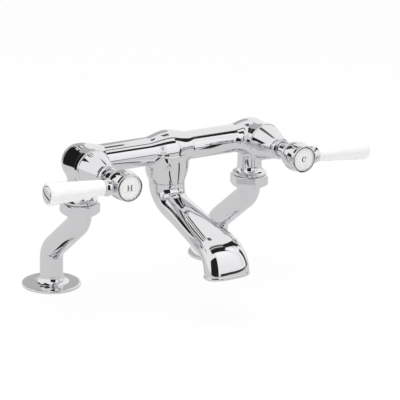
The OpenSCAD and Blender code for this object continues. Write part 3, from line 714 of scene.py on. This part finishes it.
def nut_distance(turn):
    """Distance to a union nut, from a point given from the middle of its foot."""
    height = NUT_TOP - NUT_FOOT
    bevel = tan(radians(30))
    bevel_out = 0.1
    edge, face_edge = 0.5, 0.4

    def distance(p):
        x, y, z = xyz(p)
        hexagon = np.full(x.shape, -1e3)
        for k in range(6):
            a = turn + radians(30 + 60 * k)
            hexagon = soft_max(hexagon, x * cos(a) + y * sin(a) - NUT_HALF_WIDTH, edge)
        out = np.hypot(x, y)
        cone = (out - NUT_HALF_WIDTH - bevel_out) * bevel
        shape = soft_max(soft_max(hexagon, (z - height) + cone, edge), -z + cone, edge)
        shape = soft_max(shape, np.maximum(z - height, -z), face_edge)
        return soft_max(shape, LEG_R + 0.1 - out, face_edge)
    return distance


def union_nut(turn_degrees):
    """Hexagon nut with both its rims bevelled, turned to where it was tightened."""
    reach, over = 19.0, 0.9
    return skin(nut_distance(radians(turn_degrees)), (-reach, -reach, -over),
                (reach, reach, NUT_TOP - NUT_FOOT + over), step=0.4)


def leg_path():
    """Points and directions up the leg's centre line, from the deck to the union."""
    into_nut, straight_below, thread_ring_gap = 2.0, 0.4, 0.45
    bend_top = NUT_FOOT - straight_below
    crank = -BAR_Y
    slant = (crank - 2 * LEG_BEND_R * (1 - cos(LEG_TURN))) / sin(LEG_TURN)
    fall = 2 * LEG_BEND_R * sin(LEG_TURN) + slant * cos(LEG_TURN)
    low = bend_top - fall
    path = [(0.0, z, 0.0) for z in np.arange(0, low, thread_ring_gap)]
    for a in np.linspace(0, LEG_TURN, 26):
        path.append((-LEG_BEND_R * (1 - cos(a)), low + LEG_BEND_R * sin(a), a))
    y, z, a = path[-1]
    for d in np.linspace(0, slant, 12)[1:-1]:
        path.append((y - d * sin(a), z + d * cos(a), a))
    for a in np.linspace(LEG_TURN, 0, 26):
        path.append((-crank + LEG_BEND_R * (1 - cos(a)), bend_top - LEG_BEND_R * sin(a), a))
    path.append((-crank, NUT_FOOT + into_nut, 0.0))
    return path


def swept_tube_tree():
    """Node tree that draws a ring on each point of a path and skins them into one closed tube."""
    tree = bpy.data.node_groups.new("swept_tube", "GeometryNodeTree")
    for name, kind in (("Geometry", "Geometry"), ("Sides", "Int"), ("Thread Length", "Float"),
                       ("Thread Pitch", "Float"), ("Thread Depth", "Float"), ("Thread Radius", "Float"),
                       ("Material", "Material")):
        tree.interface.new_socket(name, in_out="INPUT", socket_type="NodeSocket" + kind)
    tree.interface.new_socket("Geometry", in_out="OUTPUT", socket_type="NodeSocketGeometry")
    given = add(tree, "NodeGroupInput").outputs
    tube = ring_skin(tree, given, ring_positions(tree, given))
    smooth = add(tree, "GeometryNodeSetShadeSmooth", {"Geometry": thread_cut(tree, given, tube)})
    single = add(tree, "GeometryNodeRealizeInstances", {"Geometry": smooth})
    dressed = add(tree, "GeometryNodeSetMaterial", {"Geometry": single, "Material": given["Material"]})
    add(tree, "NodeGroupOutput", {"Geometry": dressed})
    return tree


def ring_positions(tree, given):
    """A ring of the named size on each point of the path, leaning as the path does there."""
    circle = add(tree, "GeometryNodeMeshCircle", {"Vertices": given["Sides"], "Radius": 1.0})
    lean_there = add(tree, "GeometryNodeInputNamedAttribute", {"Name": "lean"}, data_type="FLOAT")
    size_there = add(tree, "GeometryNodeInputNamedAttribute", {"Name": "ring_radius"}, data_type="FLOAT")
    turn = add(tree, "ShaderNodeCombineXYZ", {"X": lean_there})
    rings = add(tree, "GeometryNodeInstanceOnPoints", {
        "Points": given["Geometry"], "Instance": circle, "Rotation": turn, "Scale": size_there})
    return add(tree, "GeometryNodeRealizeInstances", {"Geometry": rings})


# The sums in the tube's tree: each result, what is done, and the values that it is done to. The first
# table finds the ring point under a grid point: a row and a column more than there are rings and sides
# come back to the first ones. The second table finds how far the thread moves a point of the bore
RING_SUMS = (
    ("rows", "ADD", "rings", 1.0),
    ("columns", "ADD", "sides", 1.0),
    ("row", "MODULO", "index", "rows"),
    ("index and a half", "ADD", "index", 0.5),
    ("columns passed", "DIVIDE", "index and a half", "rows"),
    ("column", "FLOOR", "columns passed"),
    ("ring", "MODULO", "row", "rings"),
    ("ring start", "MULTIPLY", "ring", "sides"),
    ("around", "MODULO", "column", "sides"),
    ("point", "ADD", "ring start", "around"))
THREAD_SUMS = (
    ("x squared", "POWER", "x", 2.0),
    ("y squared", "POWER", "y", 2.0),
    ("out squared", "ADD", "x squared", "y squared"),
    ("out", "SQRT", "out squared"),
    ("bore edge", "ADD", "radius", 0.0001),
    ("in bore", "LESS_THAN", "out", "bore edge"),
    ("in length", "LESS_THAN", "z", "length"),
    ("threaded", "MULTIPLY", "in bore", "in length"),
    ("angle", "ARCTAN2", "y", "x"),
    ("turns round", "DIVIDE", "angle", 2 * pi),
    ("turns up", "DIVIDE", "z", "pitch"),
    ("turns left", "SUBTRACT", "turns up", "turns round"),
    ("turns ahead", "ADD", "turns left", 1.0),
    ("phase", "FRACT", "turns ahead"),
    ("twice the phase", "MULTIPLY", "phase", 2.0),
    ("saw tooth", "SUBTRACT", "twice the phase", 1.0),
    ("ridge", "ABSOLUTE", "saw tooth"),
    ("ridge height", "MULTIPLY", "ridge", "depth"),
    ("share inward", "DIVIDE", "ridge height", "out"),
    ("share outward", "MULTIPLY", "share inward", -1.0))


def ring_skin(tree, given, rings):
    """A grid laid over the rings, each of its points on a ring point, with its seams welded."""
    path = add(tree, "GeometryNodeAttributeDomainSize", {"Geometry": given["Geometry"]})
    known = {"sides": given["Sides"], "rings": path.outputs["Point Count"],
             "index": add(tree, "GeometryNodeInputIndex")}
    for name, operation, *terms in RING_SUMS:
        values = {i: known.get(term, term) for i, term in enumerate(terms)}
        known[name] = add(tree, "ShaderNodeMath", values, operation=operation)
    grid = add(tree, "GeometryNodeMeshGrid", {
        "Size X": 1.0, "Size Y": 1.0, "Vertices X": known["columns"], "Vertices Y": known["rows"]})
    position = add(tree, "GeometryNodeInputPosition")
    there = add(tree, "GeometryNodeSampleIndex", {
        "Geometry": rings, "Value": position, "Index": known["point"]},
        data_type="FLOAT_VECTOR", domain="POINT")
    laid = add(tree, "GeometryNodeSetPosition", {"Geometry": grid, "Position": there})
    return add(tree, "GeometryNodeMergeByDistance", {"Geometry": laid, "Distance": 1e-6})


def thread_cut(tree, given, tube):
    """Winds a thread into the part of the bore that lies below the thread's length."""
    position = add(tree, "GeometryNodeInputPosition")
    place = add(tree, "ShaderNodeSeparateXYZ", {"Vector": position}).outputs
    known = {"x": place["X"], "y": place["Y"], "z": place["Z"],
             "length": given["Thread Length"], "pitch": given["Thread Pitch"],
             "depth": given["Thread Depth"], "radius": given["Thread Radius"]}
    for name, operation, *terms in THREAD_SUMS:
        values = {i: known.get(term, term) for i, term in enumerate(terms)}
        known[name] = add(tree, "ShaderNodeMath", values, operation=operation)
    flat = add(tree, "ShaderNodeCombineXYZ", {"X": place["X"], "Y": place["Y"]})
    move = add(tree, "ShaderNodeVectorMath", {0: flat, "Scale": known["share outward"]}, operation="SCALE")
    return add(tree, "GeometryNodeSetPosition", {
        "Geometry": tube, "Selection": known["threaded"], "Offset": move})


def leg_tube(side, tree):
    """Bent tube with its waterway, and a thread cut in its foot. The rings run up outside and down inside."""
    path = leg_path()
    foot_bevel = 0.4
    rings = [path[0] + (LEG_R - foot_bevel,)] + [(y, max(z, foot_bevel), a, LEG_R) for y, z, a in path]
    rings += [(y, z, a, TAIL_THREAD_R if z < TAIL_THREAD_LEN else LEG_BORE_R) for y, z, a in path[::-1]]
    name = f"{side}_cranked_leg"
    line = bpy.data.meshes.new(f"{name}_path")
    line.from_pydata([(0, y * MM, z * MM) for y, z, a, radius in rings], [], [])
    line.attributes.new("lean", "FLOAT", "POINT").data.foreach_set("value", [ring[2] for ring in rings])
    line.attributes.new("ring_radius", "FLOAT", "POINT").data.foreach_set(
        "value", [ring[3] * MM for ring in rings])
    piece = in_scene(name, line)
    sweep = piece.modifiers.new("swept_tube", "NODES")
    sweep.node_group = tree
    sizes = {"Thread Length": TAIL_THREAD_LEN * MM, "Thread Pitch": TAIL_THREAD_PITCH * MM,
             "Thread Depth": TAIL_THREAD_DEPTH * MM, "Thread Radius": TAIL_THREAD_R * MM,
             "Sides": LEG_SIDES, "Material": SLOT_FINISH["chrome"]}
    for socket in tree.interface.items_tree:
        if socket.name in sizes:
            sweep[socket.identifier] = sizes[socket.name]
    bpy.context.view_layer.update()
    drawn = piece.evaluated_get(bpy.context.evaluated_depsgraph_get())
    tube = bpy.data.meshes.new_from_object(drawn)
    piece.modifiers.remove(sweep)
    tube.transform(Matrix.Translation((SIDES[side] * MM, 0, 0)))
    tube.set_sharp_from_angle(angle=CRISP_BEND)
    piece.data = tube
    placed(piece, "mixer", [f"{side}_leg"])


def foot_flange():
    """Thin crowned plate with a seal groove beneath, and a collar that flares down from the leg."""
    flange_r, thick, top = 27.2, 3.2, 10.0
    seal_in, seal_out, seal_t = 14.6, 24.4, 1.5
    hole = LEG_R + FILM
    foot_r, throat_r = 17.0, hole + 0.4
    lip = 0.1
    flare_h = top - lip - thick
    flare = [(foot_r - (foot_r - throat_r) * sin(a), top - lip - flare_h * cos(a))
             for a in np.radians(np.linspace(0, 90, 24))]
    edge_r, fall = flange_r - 1.4, 0.55
    rim_top, rim_round, foot_round = thick - 0.9, 1.0, 0.4
    crown = [(edge_r + (foot_r - edge_r) * u, thick - fall * (1 - u) ** 2) for u in np.linspace(0, 1, 10)]
    plate = outline([(hole, top), (hole, 0), (seal_in, 0), (seal_in, seal_t),
                     (seal_out, seal_t), (seal_out, 0), (flange_r, 0, foot_round),
                     (flange_r, rim_top, rim_round), crown[0]])
    collar = outline([flare[-1], (throat_r, top, lip), (hole, top)])
    return plate + curve_stretches(crown) + curve_stretches(flare) + collar


# Valve covers and levers

def bonnet_cover():
    """Cone over the cartridge, a little full, with a bead at its tip and a hole for the hub's neck."""
    start, end = forward("cold_bonnet_cover")
    base_r, tip_r, bead_r = 16.2, 9.6, 9.9
    fullness, shoulder = 0.4, 0.5
    bead_len, bead_fall = 5.5, 1.9
    cone_end = end - bead_len
    cone = [(base_r + (tip_r - base_r) * u + fullness * sin(pi * u),
             start + shoulder + (cone_end - start - 2 * shoulder) * u) for u in np.linspace(0, 1, 14)]
    tip = bead(bead_r, bead_fall, cone_end, bead_len, 16)
    hole_r, mouth_r, bore_r = 6.75, 7.1, 13.3
    return (outline([(bore_r, start), (base_r - shoulder, start), cone[0]])
            + curve_stretches(cone) + outline([cone[-1], (tip_r - 0.9, cone_end), tip[0]])
            + curve_stretches(tip)
            + outline([tip[-1], (mouth_r, end, 0.3), (hole_r, end - 0.4), (hole_r, end - 2),
                       (mouth_r, end - 2.3), (mouth_r, end - 9), (bore_r, start)]))


def lever_hub():
    """Bellied hub with a step behind it and its neck into the cover."""
    start = forward("cold_lever_hub")[0]
    neck_r, hub_r = 6.6, 13.5
    step, step_len, belly_share = 2.6, 2.6, 0.52
    back = HUB_FRONT - HUB_LEN
    belly_back = back + step_len
    belly_at = back + HUB_LEN * belly_share
    back_r = hub_r - step
    belly = [(hub_r - (hub_r - back_r) * u * u, belly_at + (belly_at - belly_back) * u)
             for u in np.linspace(-1, 0, 14)]
    belly += [(hub_r - (hub_r - HEAD_FACE_R) * u * u, belly_at + (HUB_FRONT - belly_at) * u)
              for u in np.linspace(0, 1, 14)[1:]]
    return (outline([(0, start), (neck_r, start, 0.5), (neck_r, back, 1.2), (back_r, back, 0.5),
                     (back_r, back + 1.2, 0.3), (back_r - 0.5, belly_back - 0.5, 0.2), belly[0]])
            + curve_stretches(belly) + outline([belly[-1], (0, HUB_FRONT)]))


def lever_stem():
    """Plain stem between the hub and the collar, whose inner end is inside the hub."""
    start, end = 4.0, COLLAR_START + 0.02
    return outline([(0, start), (STEM_R, start), (STEM_R, end), (0, end)])


def index_bezel():
    """Ring that holds the index disc, with a rounded rim and a thin lip over the disc's edge."""
    front = HUB_FRONT + DISC_T + 1.05
    inner, lip_r, lip_t = DISC_R + FILM, DISC_R - 0.6, 0.95
    return outline([(inner, HUB_FRONT), (HEAD_FACE_R, HUB_FRONT), (HEAD_FACE_R, front, 1.0),
                    (lip_r, front, 0.5), (lip_r, front - lip_t), (inner, front - lip_t),
                    (inner, HUB_FRONT)], 8)


def index_disc():
    """Porcelain disc with a low dome."""
    front = DISC_BACK + DISC_T
    dome = [(DISC_R * u, front + DISC_DOME * (1 - u * u)) for u in np.linspace(0.97, 0, 14)]
    return (outline([(0, DISC_BACK), (DISC_R, DISC_BACK, 0.2), (DISC_R, front, 0.3), dome[0]])
            + curve_stretches(dome))


def lever_collar():
    """Round collar between the stem and the grip."""
    fall, end_r = 1.9, 6.2
    bulge = bead(COLLAR_R, fall, COLLAR_START, COLLAR_LEN, 22)
    end = COLLAR_START + COLLAR_LEN
    return (outline([(0, COLLAR_START), (STEM_R, COLLAR_START), bulge[0]])
            + curve_stretches(bulge) + outline([bulge[-1], (end_r, end), (0, end)]))


def lever_grip():
    """Porcelain grip that widens to its end, with a seat there for the end screw."""
    end = GRIP_START + GRIP_LEN
    seat_r, seat_end = END_SCREW_R + 0.15, end - 1.2
    return outline([(ROD_BORE_R, GRIP_START), (GRIP_START_R, GRIP_START, 0.9),
                    (GRIP_END_R, end - 0.2, 3.4), (seat_r, end, 0.3), (seat_r, seat_end),
                    (ROD_BORE_R, seat_end), (ROD_BORE_R, GRIP_START)], 12)


def end_screw():
    """Domed screw head with a cut slot, and how much painted shade each of its points gets."""
    foot = GRIP_START + GRIP_LEN - 1.15
    height, slot_w, slot_d = 2.92, 1.5, 1.3
    slot_turn = radians(59)
    dome_r = 24.0
    rim_edge, foot_edge, slot_edge = 1.4, 0.2, 0.25

    def under_dome(p):
        x, y, z = xyz(p)
        return dome_r - np.sqrt(x ** 2 + y ** 2 + (z - height + dome_r) ** 2)

    def beside_slot(p):
        return np.abs(-p[..., 0] * sin(slot_turn) + p[..., 1] * cos(slot_turn)) - slot_w / 2

    def distance(p):
        x, y, z = xyz(p)
        head = soft_max(soft_max(np.hypot(x, y) - END_SCREW_R, -under_dome(p), rim_edge), -z, foot_edge)
        slot = np.maximum(beside_slot(p), height - slot_d - z)
        return soft_max(head, -slot, slot_edge)

    reach = END_SCREW_R + 0.6
    head = skin(distance, (-reach, -reach, -0.5), (reach, reach, height + 0.5), step=0.22)
    points = head[0]
    in_slot = (beside_slot(points) < 0.1) & (points[:, 2] > height - slot_d - 0.1)
    # Painted shade in the slot: none within 0.15 mm of the dome's surface, full from 0.35 mm below it
    shade_start, bare_from = 0.15, 0.35
    shade_ramp = (under_dome(points) - shade_start) / (bare_from - shade_start)
    bare = np.where(in_slot, np.clip(shade_ramp, 0, 1), 0)
    return stood(head, upright(0, 0, foot)), bare


# Letters for hot and cold

def bar(x0, y0, x1, y1):
    """A straight stroke, from its lower left to its upper right corner."""
    return [(x0, y0), (x1, y0), (x1, y1), (x0, y1)]


def letter_h():
    """Outlines of the H in the disc's plane, in millimetres, each a closed line."""
    half, apart, thick, serif, raised = 5.0 / 2, 3.4, 0.86, 0.5, 0.1
    strokes = [bar(-apart / 2, -serif / 2 + raised, apart / 2, serif / 2 + raised)]
    for x in (-apart / 2, apart / 2):
        strokes.append(bar(x - thick / 2, -half, x + thick / 2, half))
        for y in (-half, half - serif):
            strokes.append(bar(x - thick, y, x + thick, y + serif))
    return strokes


def letter_c():
    """Outlines of the C in the same way: a bow that thins towards its ends, and a serif on its tip."""
    half, slim, thick, thin, inner_shift = 4.8 / 2, 0.95, 0.95, 0.5, 0.12
    serif_half, serif_down, serif_up = 0.25, 1.15, 0.35
    opening = radians(42)
    angles = np.linspace(opening, 2 * pi - opening, 40)
    outer = [(half * slim * cos(a), half * sin(a)) for a in angles]
    inner = [((half - thick) * slim * cos(a) + inner_shift, (half - thin) * sin(a)) for a in angles[::-1]]
    tip = (half * slim * cos(opening), half * sin(opening))
    return [outer + inner, bar(tip[0] - serif_half, tip[1] - serif_down,
                               tip[0] + serif_half, tip[1] + serif_up)]


def index_letter(side):
    """The letter as a thin layer that follows the disc's dome."""
    sunk, proud = -0.1, 0.05
    points, faces = [], []
    # The hot lever points the other way, so its letter is turned by half a turn to stand upright
    strokes, flip = (letter_c(), 1) if side == "cold" else (letter_h(), -1)
    for stroke in strokes:
        first = len(points)
        n = len(stroke)
        for lift in (sunk, proud):
            for x, y in stroke:
                dome = DISC_BACK + DISC_T + DISC_DOME * (1 - (x * x + y * y) / DISC_R ** 2)
                points.append((x * flip, y * flip, dome + lift))
        faces.append(tuple(range(first + n, first + 2 * n)))
        faces.append(tuple(range(first, first + n))[::-1])
        for i in range(n):
            j = (i + 1) % n
            faces.append((first + i, first + j, first + n + j, first + n + i))
    return points, faces, None


cast_body()
cast_spout()
tube_tree = swept_tube_tree()
for side, nut_turn in (("hot", 29), ("cold", 15)):
    valve, lever = on_valve(side), on_lever(side)
    nut = stood(union_nut(nut_turn), upright(SIDES[side], BAR_Y, NUT_FOOT))
    side_piece(side, "union_nut_hex", nut, "union_nut", body="mixer")
    leg_tube(side, tube_tree)
    foot = turned(foot_flange(), upright(SIDES[side], 0, 0), FOOT_SIDES)
    side_piece(side, "foot_plate", foot, "foot_flange", body="mixer")
    side_piece(side, "bonnet_cone", turned(bonnet_cover(), valve, VALVE_SIDES), "bonnet_cover", body="mixer")
    hub = joined(turned(lever_hub(), valve, VALVE_SIDES), turned(lever_stem(), lever, STEM_SIDES))
    side_piece(side, "hub", hub, "lever_hub")
    side_piece(side, "bezel_ring", turned(index_bezel(), valve, VALVE_SIDES), "index_bezel")
    side_piece(side, "disc_glazed", turned(index_disc(), valve, VALVE_SIDES), "index_disc", "porcelain")
    side_piece(side, "index_letter", stood(index_letter(side), valve), None, "porcelain", material=LETTER_INK)
    side_piece(side, "collar_bead", turned(lever_collar(), lever, LEVER_SIDES), "lever_collar")
    side_piece(side, "grip_glazed", turned(lever_grip(), lever, LEVER_SIDES), "lever_grip", "porcelain")
    # The end screw's slot gets painted shade
    screw, painted_slot_shade = end_screw()
    side_piece(side, "end_screw_head", stood(screw, lever), "end_screw", bare=painted_slot_shade)


# Camera at the photograph's viewpoint

def stand(holder, right, up, ahead, place):
    """Puts a lamp or a camera in its place, looking ahead."""
    matrix = Matrix([[right[i], up[i], -ahead[i], 0] for i in range(3)] + [[0, 0, 0, 1]])
    matrix.translation = place
    holder.matrix_world = matrix


def camera():
    """The photograph's view: its turn from straight behind the spout, its tilt down and its roll."""
    turn, tilt, roll = (radians(a) for a in (32.506, 17.923, 1.338))
    ahead = np.array([sin(turn) * cos(tilt), cos(turn) * cos(tilt), -sin(tilt)])
    level = np.array([cos(turn), -sin(turn), 0])
    down = np.cross(ahead, level)
    right = cos(roll) * level - sin(roll) * down
    under = sin(roll) * level + cos(roll) * down
    data = bpy.data.cameras.new("camera")
    data.sensor_width = 36
    data.lens = 193.98
    data.clip_end = 20
    viewer = in_scene("camera", data)
    eye = (-0.97852, -1.64574, 0.68805)
    stand(viewer, right, -under, ahead, eye)
    bpy.context.scene.camera = viewer


# Floor, light and surroundings

def seen_directly(tree):
    """1 for rays from the camera, a mirror or a clear body, and 0 for light that falls on surfaces."""
    path = add(tree, "ShaderNodeLightPath")
    total = add(tree, "ShaderNodeMath", {
        0: path.outputs["Is Camera Ray"], 1: path.outputs["Is Glossy Ray"]}, operation="ADD")
    return add(tree, "ShaderNodeMath", {
        0: total, 1: path.outputs["Is Transmission Ray"]}, operation="ADD", use_clamp=True)


def surroundings():
    """White all round for the camera and mirrors, and a soft even light on the object."""
    world = bpy.data.worlds.new("white studio")
    bpy.context.scene.world = world
    tree = bare_tree(world)
    light = add(tree, "ShaderNodeBackground", {"Color": linear("#FFFFFF"), "Strength": 0.75})
    white = add(tree, "ShaderNodeBackground", {"Color": linear("#FFFFFF"), "Strength": 1.0})
    mix = add(tree, "ShaderNodeMixShader", {"Fac": seen_directly(tree), 1: light, 2: white})
    add(tree, "ShaderNodeOutputWorld", {"Surface": mix})


def stage_panel(name, centre, across, up, material):
    """A flat panel of the stage, from its middle and the lengths and directions of its sides."""
    centre, across, up = (np.array(v, float) for v in (centre, across, up))
    corner_points = [centre + across * i / 2 + up * j / 2 for i, j in ((-1, -1), (1, -1), (1, 1), (-1, 1))]
    mesh = bpy.data.meshes.new(name)
    mesh.from_pydata([tuple(c) for c in corner_points], [], [(0, 1, 2, 3)])
    mesh.materials.append(material)
    panel = in_scene(name, mesh)
    return panel


def floor():
    """White floor: it keeps the object's shadow, and a mirror sees it as light grey."""
    material = bpy.data.materials.new("matt_white_floor")
    tree = bare_tree(material)
    paint = add(tree, "ShaderNodeBsdfDiffuse", {"Color": linear("#F4F4F4")})
    # The photograph's chrome is greyer below than above
    mirrored = add(tree, "ShaderNodeLightPath").outputs["Is Glossy Ray"]
    level = add(tree, "ShaderNodeMapRange", {"Value": mirrored, "To Min": 1.0, "To Max": FLOOR_IN_MIRROR})
    glow = add(tree, "ShaderNodeEmission", {"Color": linear("#FFFFFF"), "Strength": level})
    share = add(tree, "ShaderNodeMath", {0: seen_directly(tree), 1: FLOOR_WHITE}, operation="MULTIPLY")
    mix = add(tree, "ShaderNodeMixShader", {"Fac": share, 1: paint, 2: glow})
    add(tree, "ShaderNodeOutputMaterial", {"Surface": mix})
    stage_panel("floor", (0, 0, -0.0005), (8, 0, 0), (0, 8, 0), material)


def card_paint():
    """Evenly lit card: its brightness is painted on its corners."""
    material = bpy.data.materials.new("studio_card")
    tree = bare_tree(material)
    shade = add(tree, "ShaderNodeAttribute", attribute_name="shade")
    glow = add(tree, "ShaderNodeEmission", {"Color": shade, "Strength": 1.0})
    add(tree, "ShaderNodeOutputMaterial", {"Surface": glow})
    return material


def studio_card(name, centre, across, up, shades):
    """A card that only mirrors see, with its brightness at its foot and at its top."""
    card = stage_panel(name, centre, across, up, CARD_PAINT)
    shade = card.data.color_attributes.new("shade", "FLOAT_COLOR", "POINT")
    for i, value in enumerate((shades[0], shades[0], shades[1], shades[1])):
        shade.data[i].color = (value, value, value, 1)
    card.visible_camera = card.visible_diffuse = card.visible_shadow = False


def overhead_softbox():
    """One wide soft lamp above and in front of the filler. Mirrors don't see it: they see the cards."""
    data = bpy.data.lights.new("overhead softbox", "AREA")
    data.shape = "RECTANGLE"
    data.size, data.size_y = 1.2, 1.0
    data.energy = 9
    softbox = in_scene("overhead softbox", data)
    centre, aim = np.array([-0.1, -0.2, 1.3]), np.array([0, -0.05, 0.1])
    ahead = aim - centre
    ahead /= np.linalg.norm(ahead)
    right = np.cross(ahead, [0, 1.0, 0])
    right /= np.linalg.norm(right)
    stand(softbox, right, np.cross(right, ahead), ahead, centre)
    softbox.visible_glossy = False


# How much of the floor is plain white to the camera, and how bright a mirror sees it
FLOOR_WHITE = 0.92
FLOOR_IN_MIRROR = 0.72

# The studio as the chrome in the photograph shows it: each card's middle, its width and its height as
# directions in metres, and how bright it is at its foot and its top
STUDIO = {
    "black_card_back_left": (
        (-0.146, 0.007, 0.166), (0.067, 0.062, 0), (0.036, -0.039, 0.122), (0.015, 0.015)),
    "dark_card_over_cold_cone": (
        (0.077, 0.025, 0.427), (0.077, 0.003, 0), (0.003, -0.085, 0.028), (0.1, 0.16)),
    "grey_wall_back": ((0.152, 0.963, 0.524), (0.841, -0.126, 0), (-0.054, -0.364, 0.958), (0.56, 0.5)),
    "window": ((0.145, -0.41, 0.31), (0.29, 0, 0), (0, 0, 0.54), (0.98, 1.25)),
    "window_top_edge": ((0.22, -0.412, 0.64), (0.48, 0, 0), (0, 0, 0.12), (0.02, 0.02)),
    "window_side_edge": ((0.25, -0.295, 0.227), (0, 0.006, 0), (0, 0.12, 0.313), (0.03, 0.03)),
    "low_strip_in_front": ((0.385, -0.409, 0.029), (0.73, 0, 0), (0, 0, 0.03), (0.02, 0.02)),
    "narrow_board_in_front": ((0.012, -0.37, 0.002), (0.035, 0, 0), (0, 0.12, 0), (0.02, 0.02)),
    "black_card_camera_side": ((-0.21, -0.411, 0.187), (0.38, 0, 0), (0, 0, 0.346), (0.02, 0.02)),
    "black_bar_over_nose": ((0.035, -0.255, 0.35), (0.27, 0, 0), (0, 0.09, 0), (0.02, 0.02)),
    "dark_strip_overhead": ((0.45, -0.25, 1), (1.5, 0, 0), (0, 0.12, 0), (0.15, 0.15)),
    "black_card_cold_side": ((0.25, -0.155, 0.36), (0, 0.11, 0), (0, -0.16, 0.34), (0.02, 0.02)),
    "bright_card_cold_side": ((0.83, -0.41, 0.41), (0.94, 0, 0), (0, 0, 0.78), (1, 1.2)),
    "thin_card_behind": ((-0.063, 0.479, 0.879), (0.063, 0.007, 0), (0.026, -0.252, 0.191), (0.05, 0.05)),
    "thin_card_behind_right": (
        (0.093, 0.502, 0.857), (0.098, -0.015, 0), (-0.028, -0.189, 0.155), (0.12, 0.12)),
    "thin_card_behind_left": ((-0.246, 0.474, 0.846), (0.093, 0.039, 0), (0.103, -0.25, 0.227), (0.08, 0.08)),
    "black_card_behind": ((-0.236, 0.675, 0.731), (0.29, 0.123, 0), (0.115, -0.27, 0.403), (0.03, 0.03)),
    "black_card_nose_side": ((0.12, -0.186, 0.092), (0, 0.028, 0), (0, 0, 0.095), (0.02, 0.02)),
}


camera()
surroundings()
floor()
CARD_PAINT = card_paint()
for card_name, card_sizes in STUDIO.items():
    studio_card(card_name, *card_sizes)
overhead_softbox()

bpy.context.scene.view_settings.view_transform = "Standard"
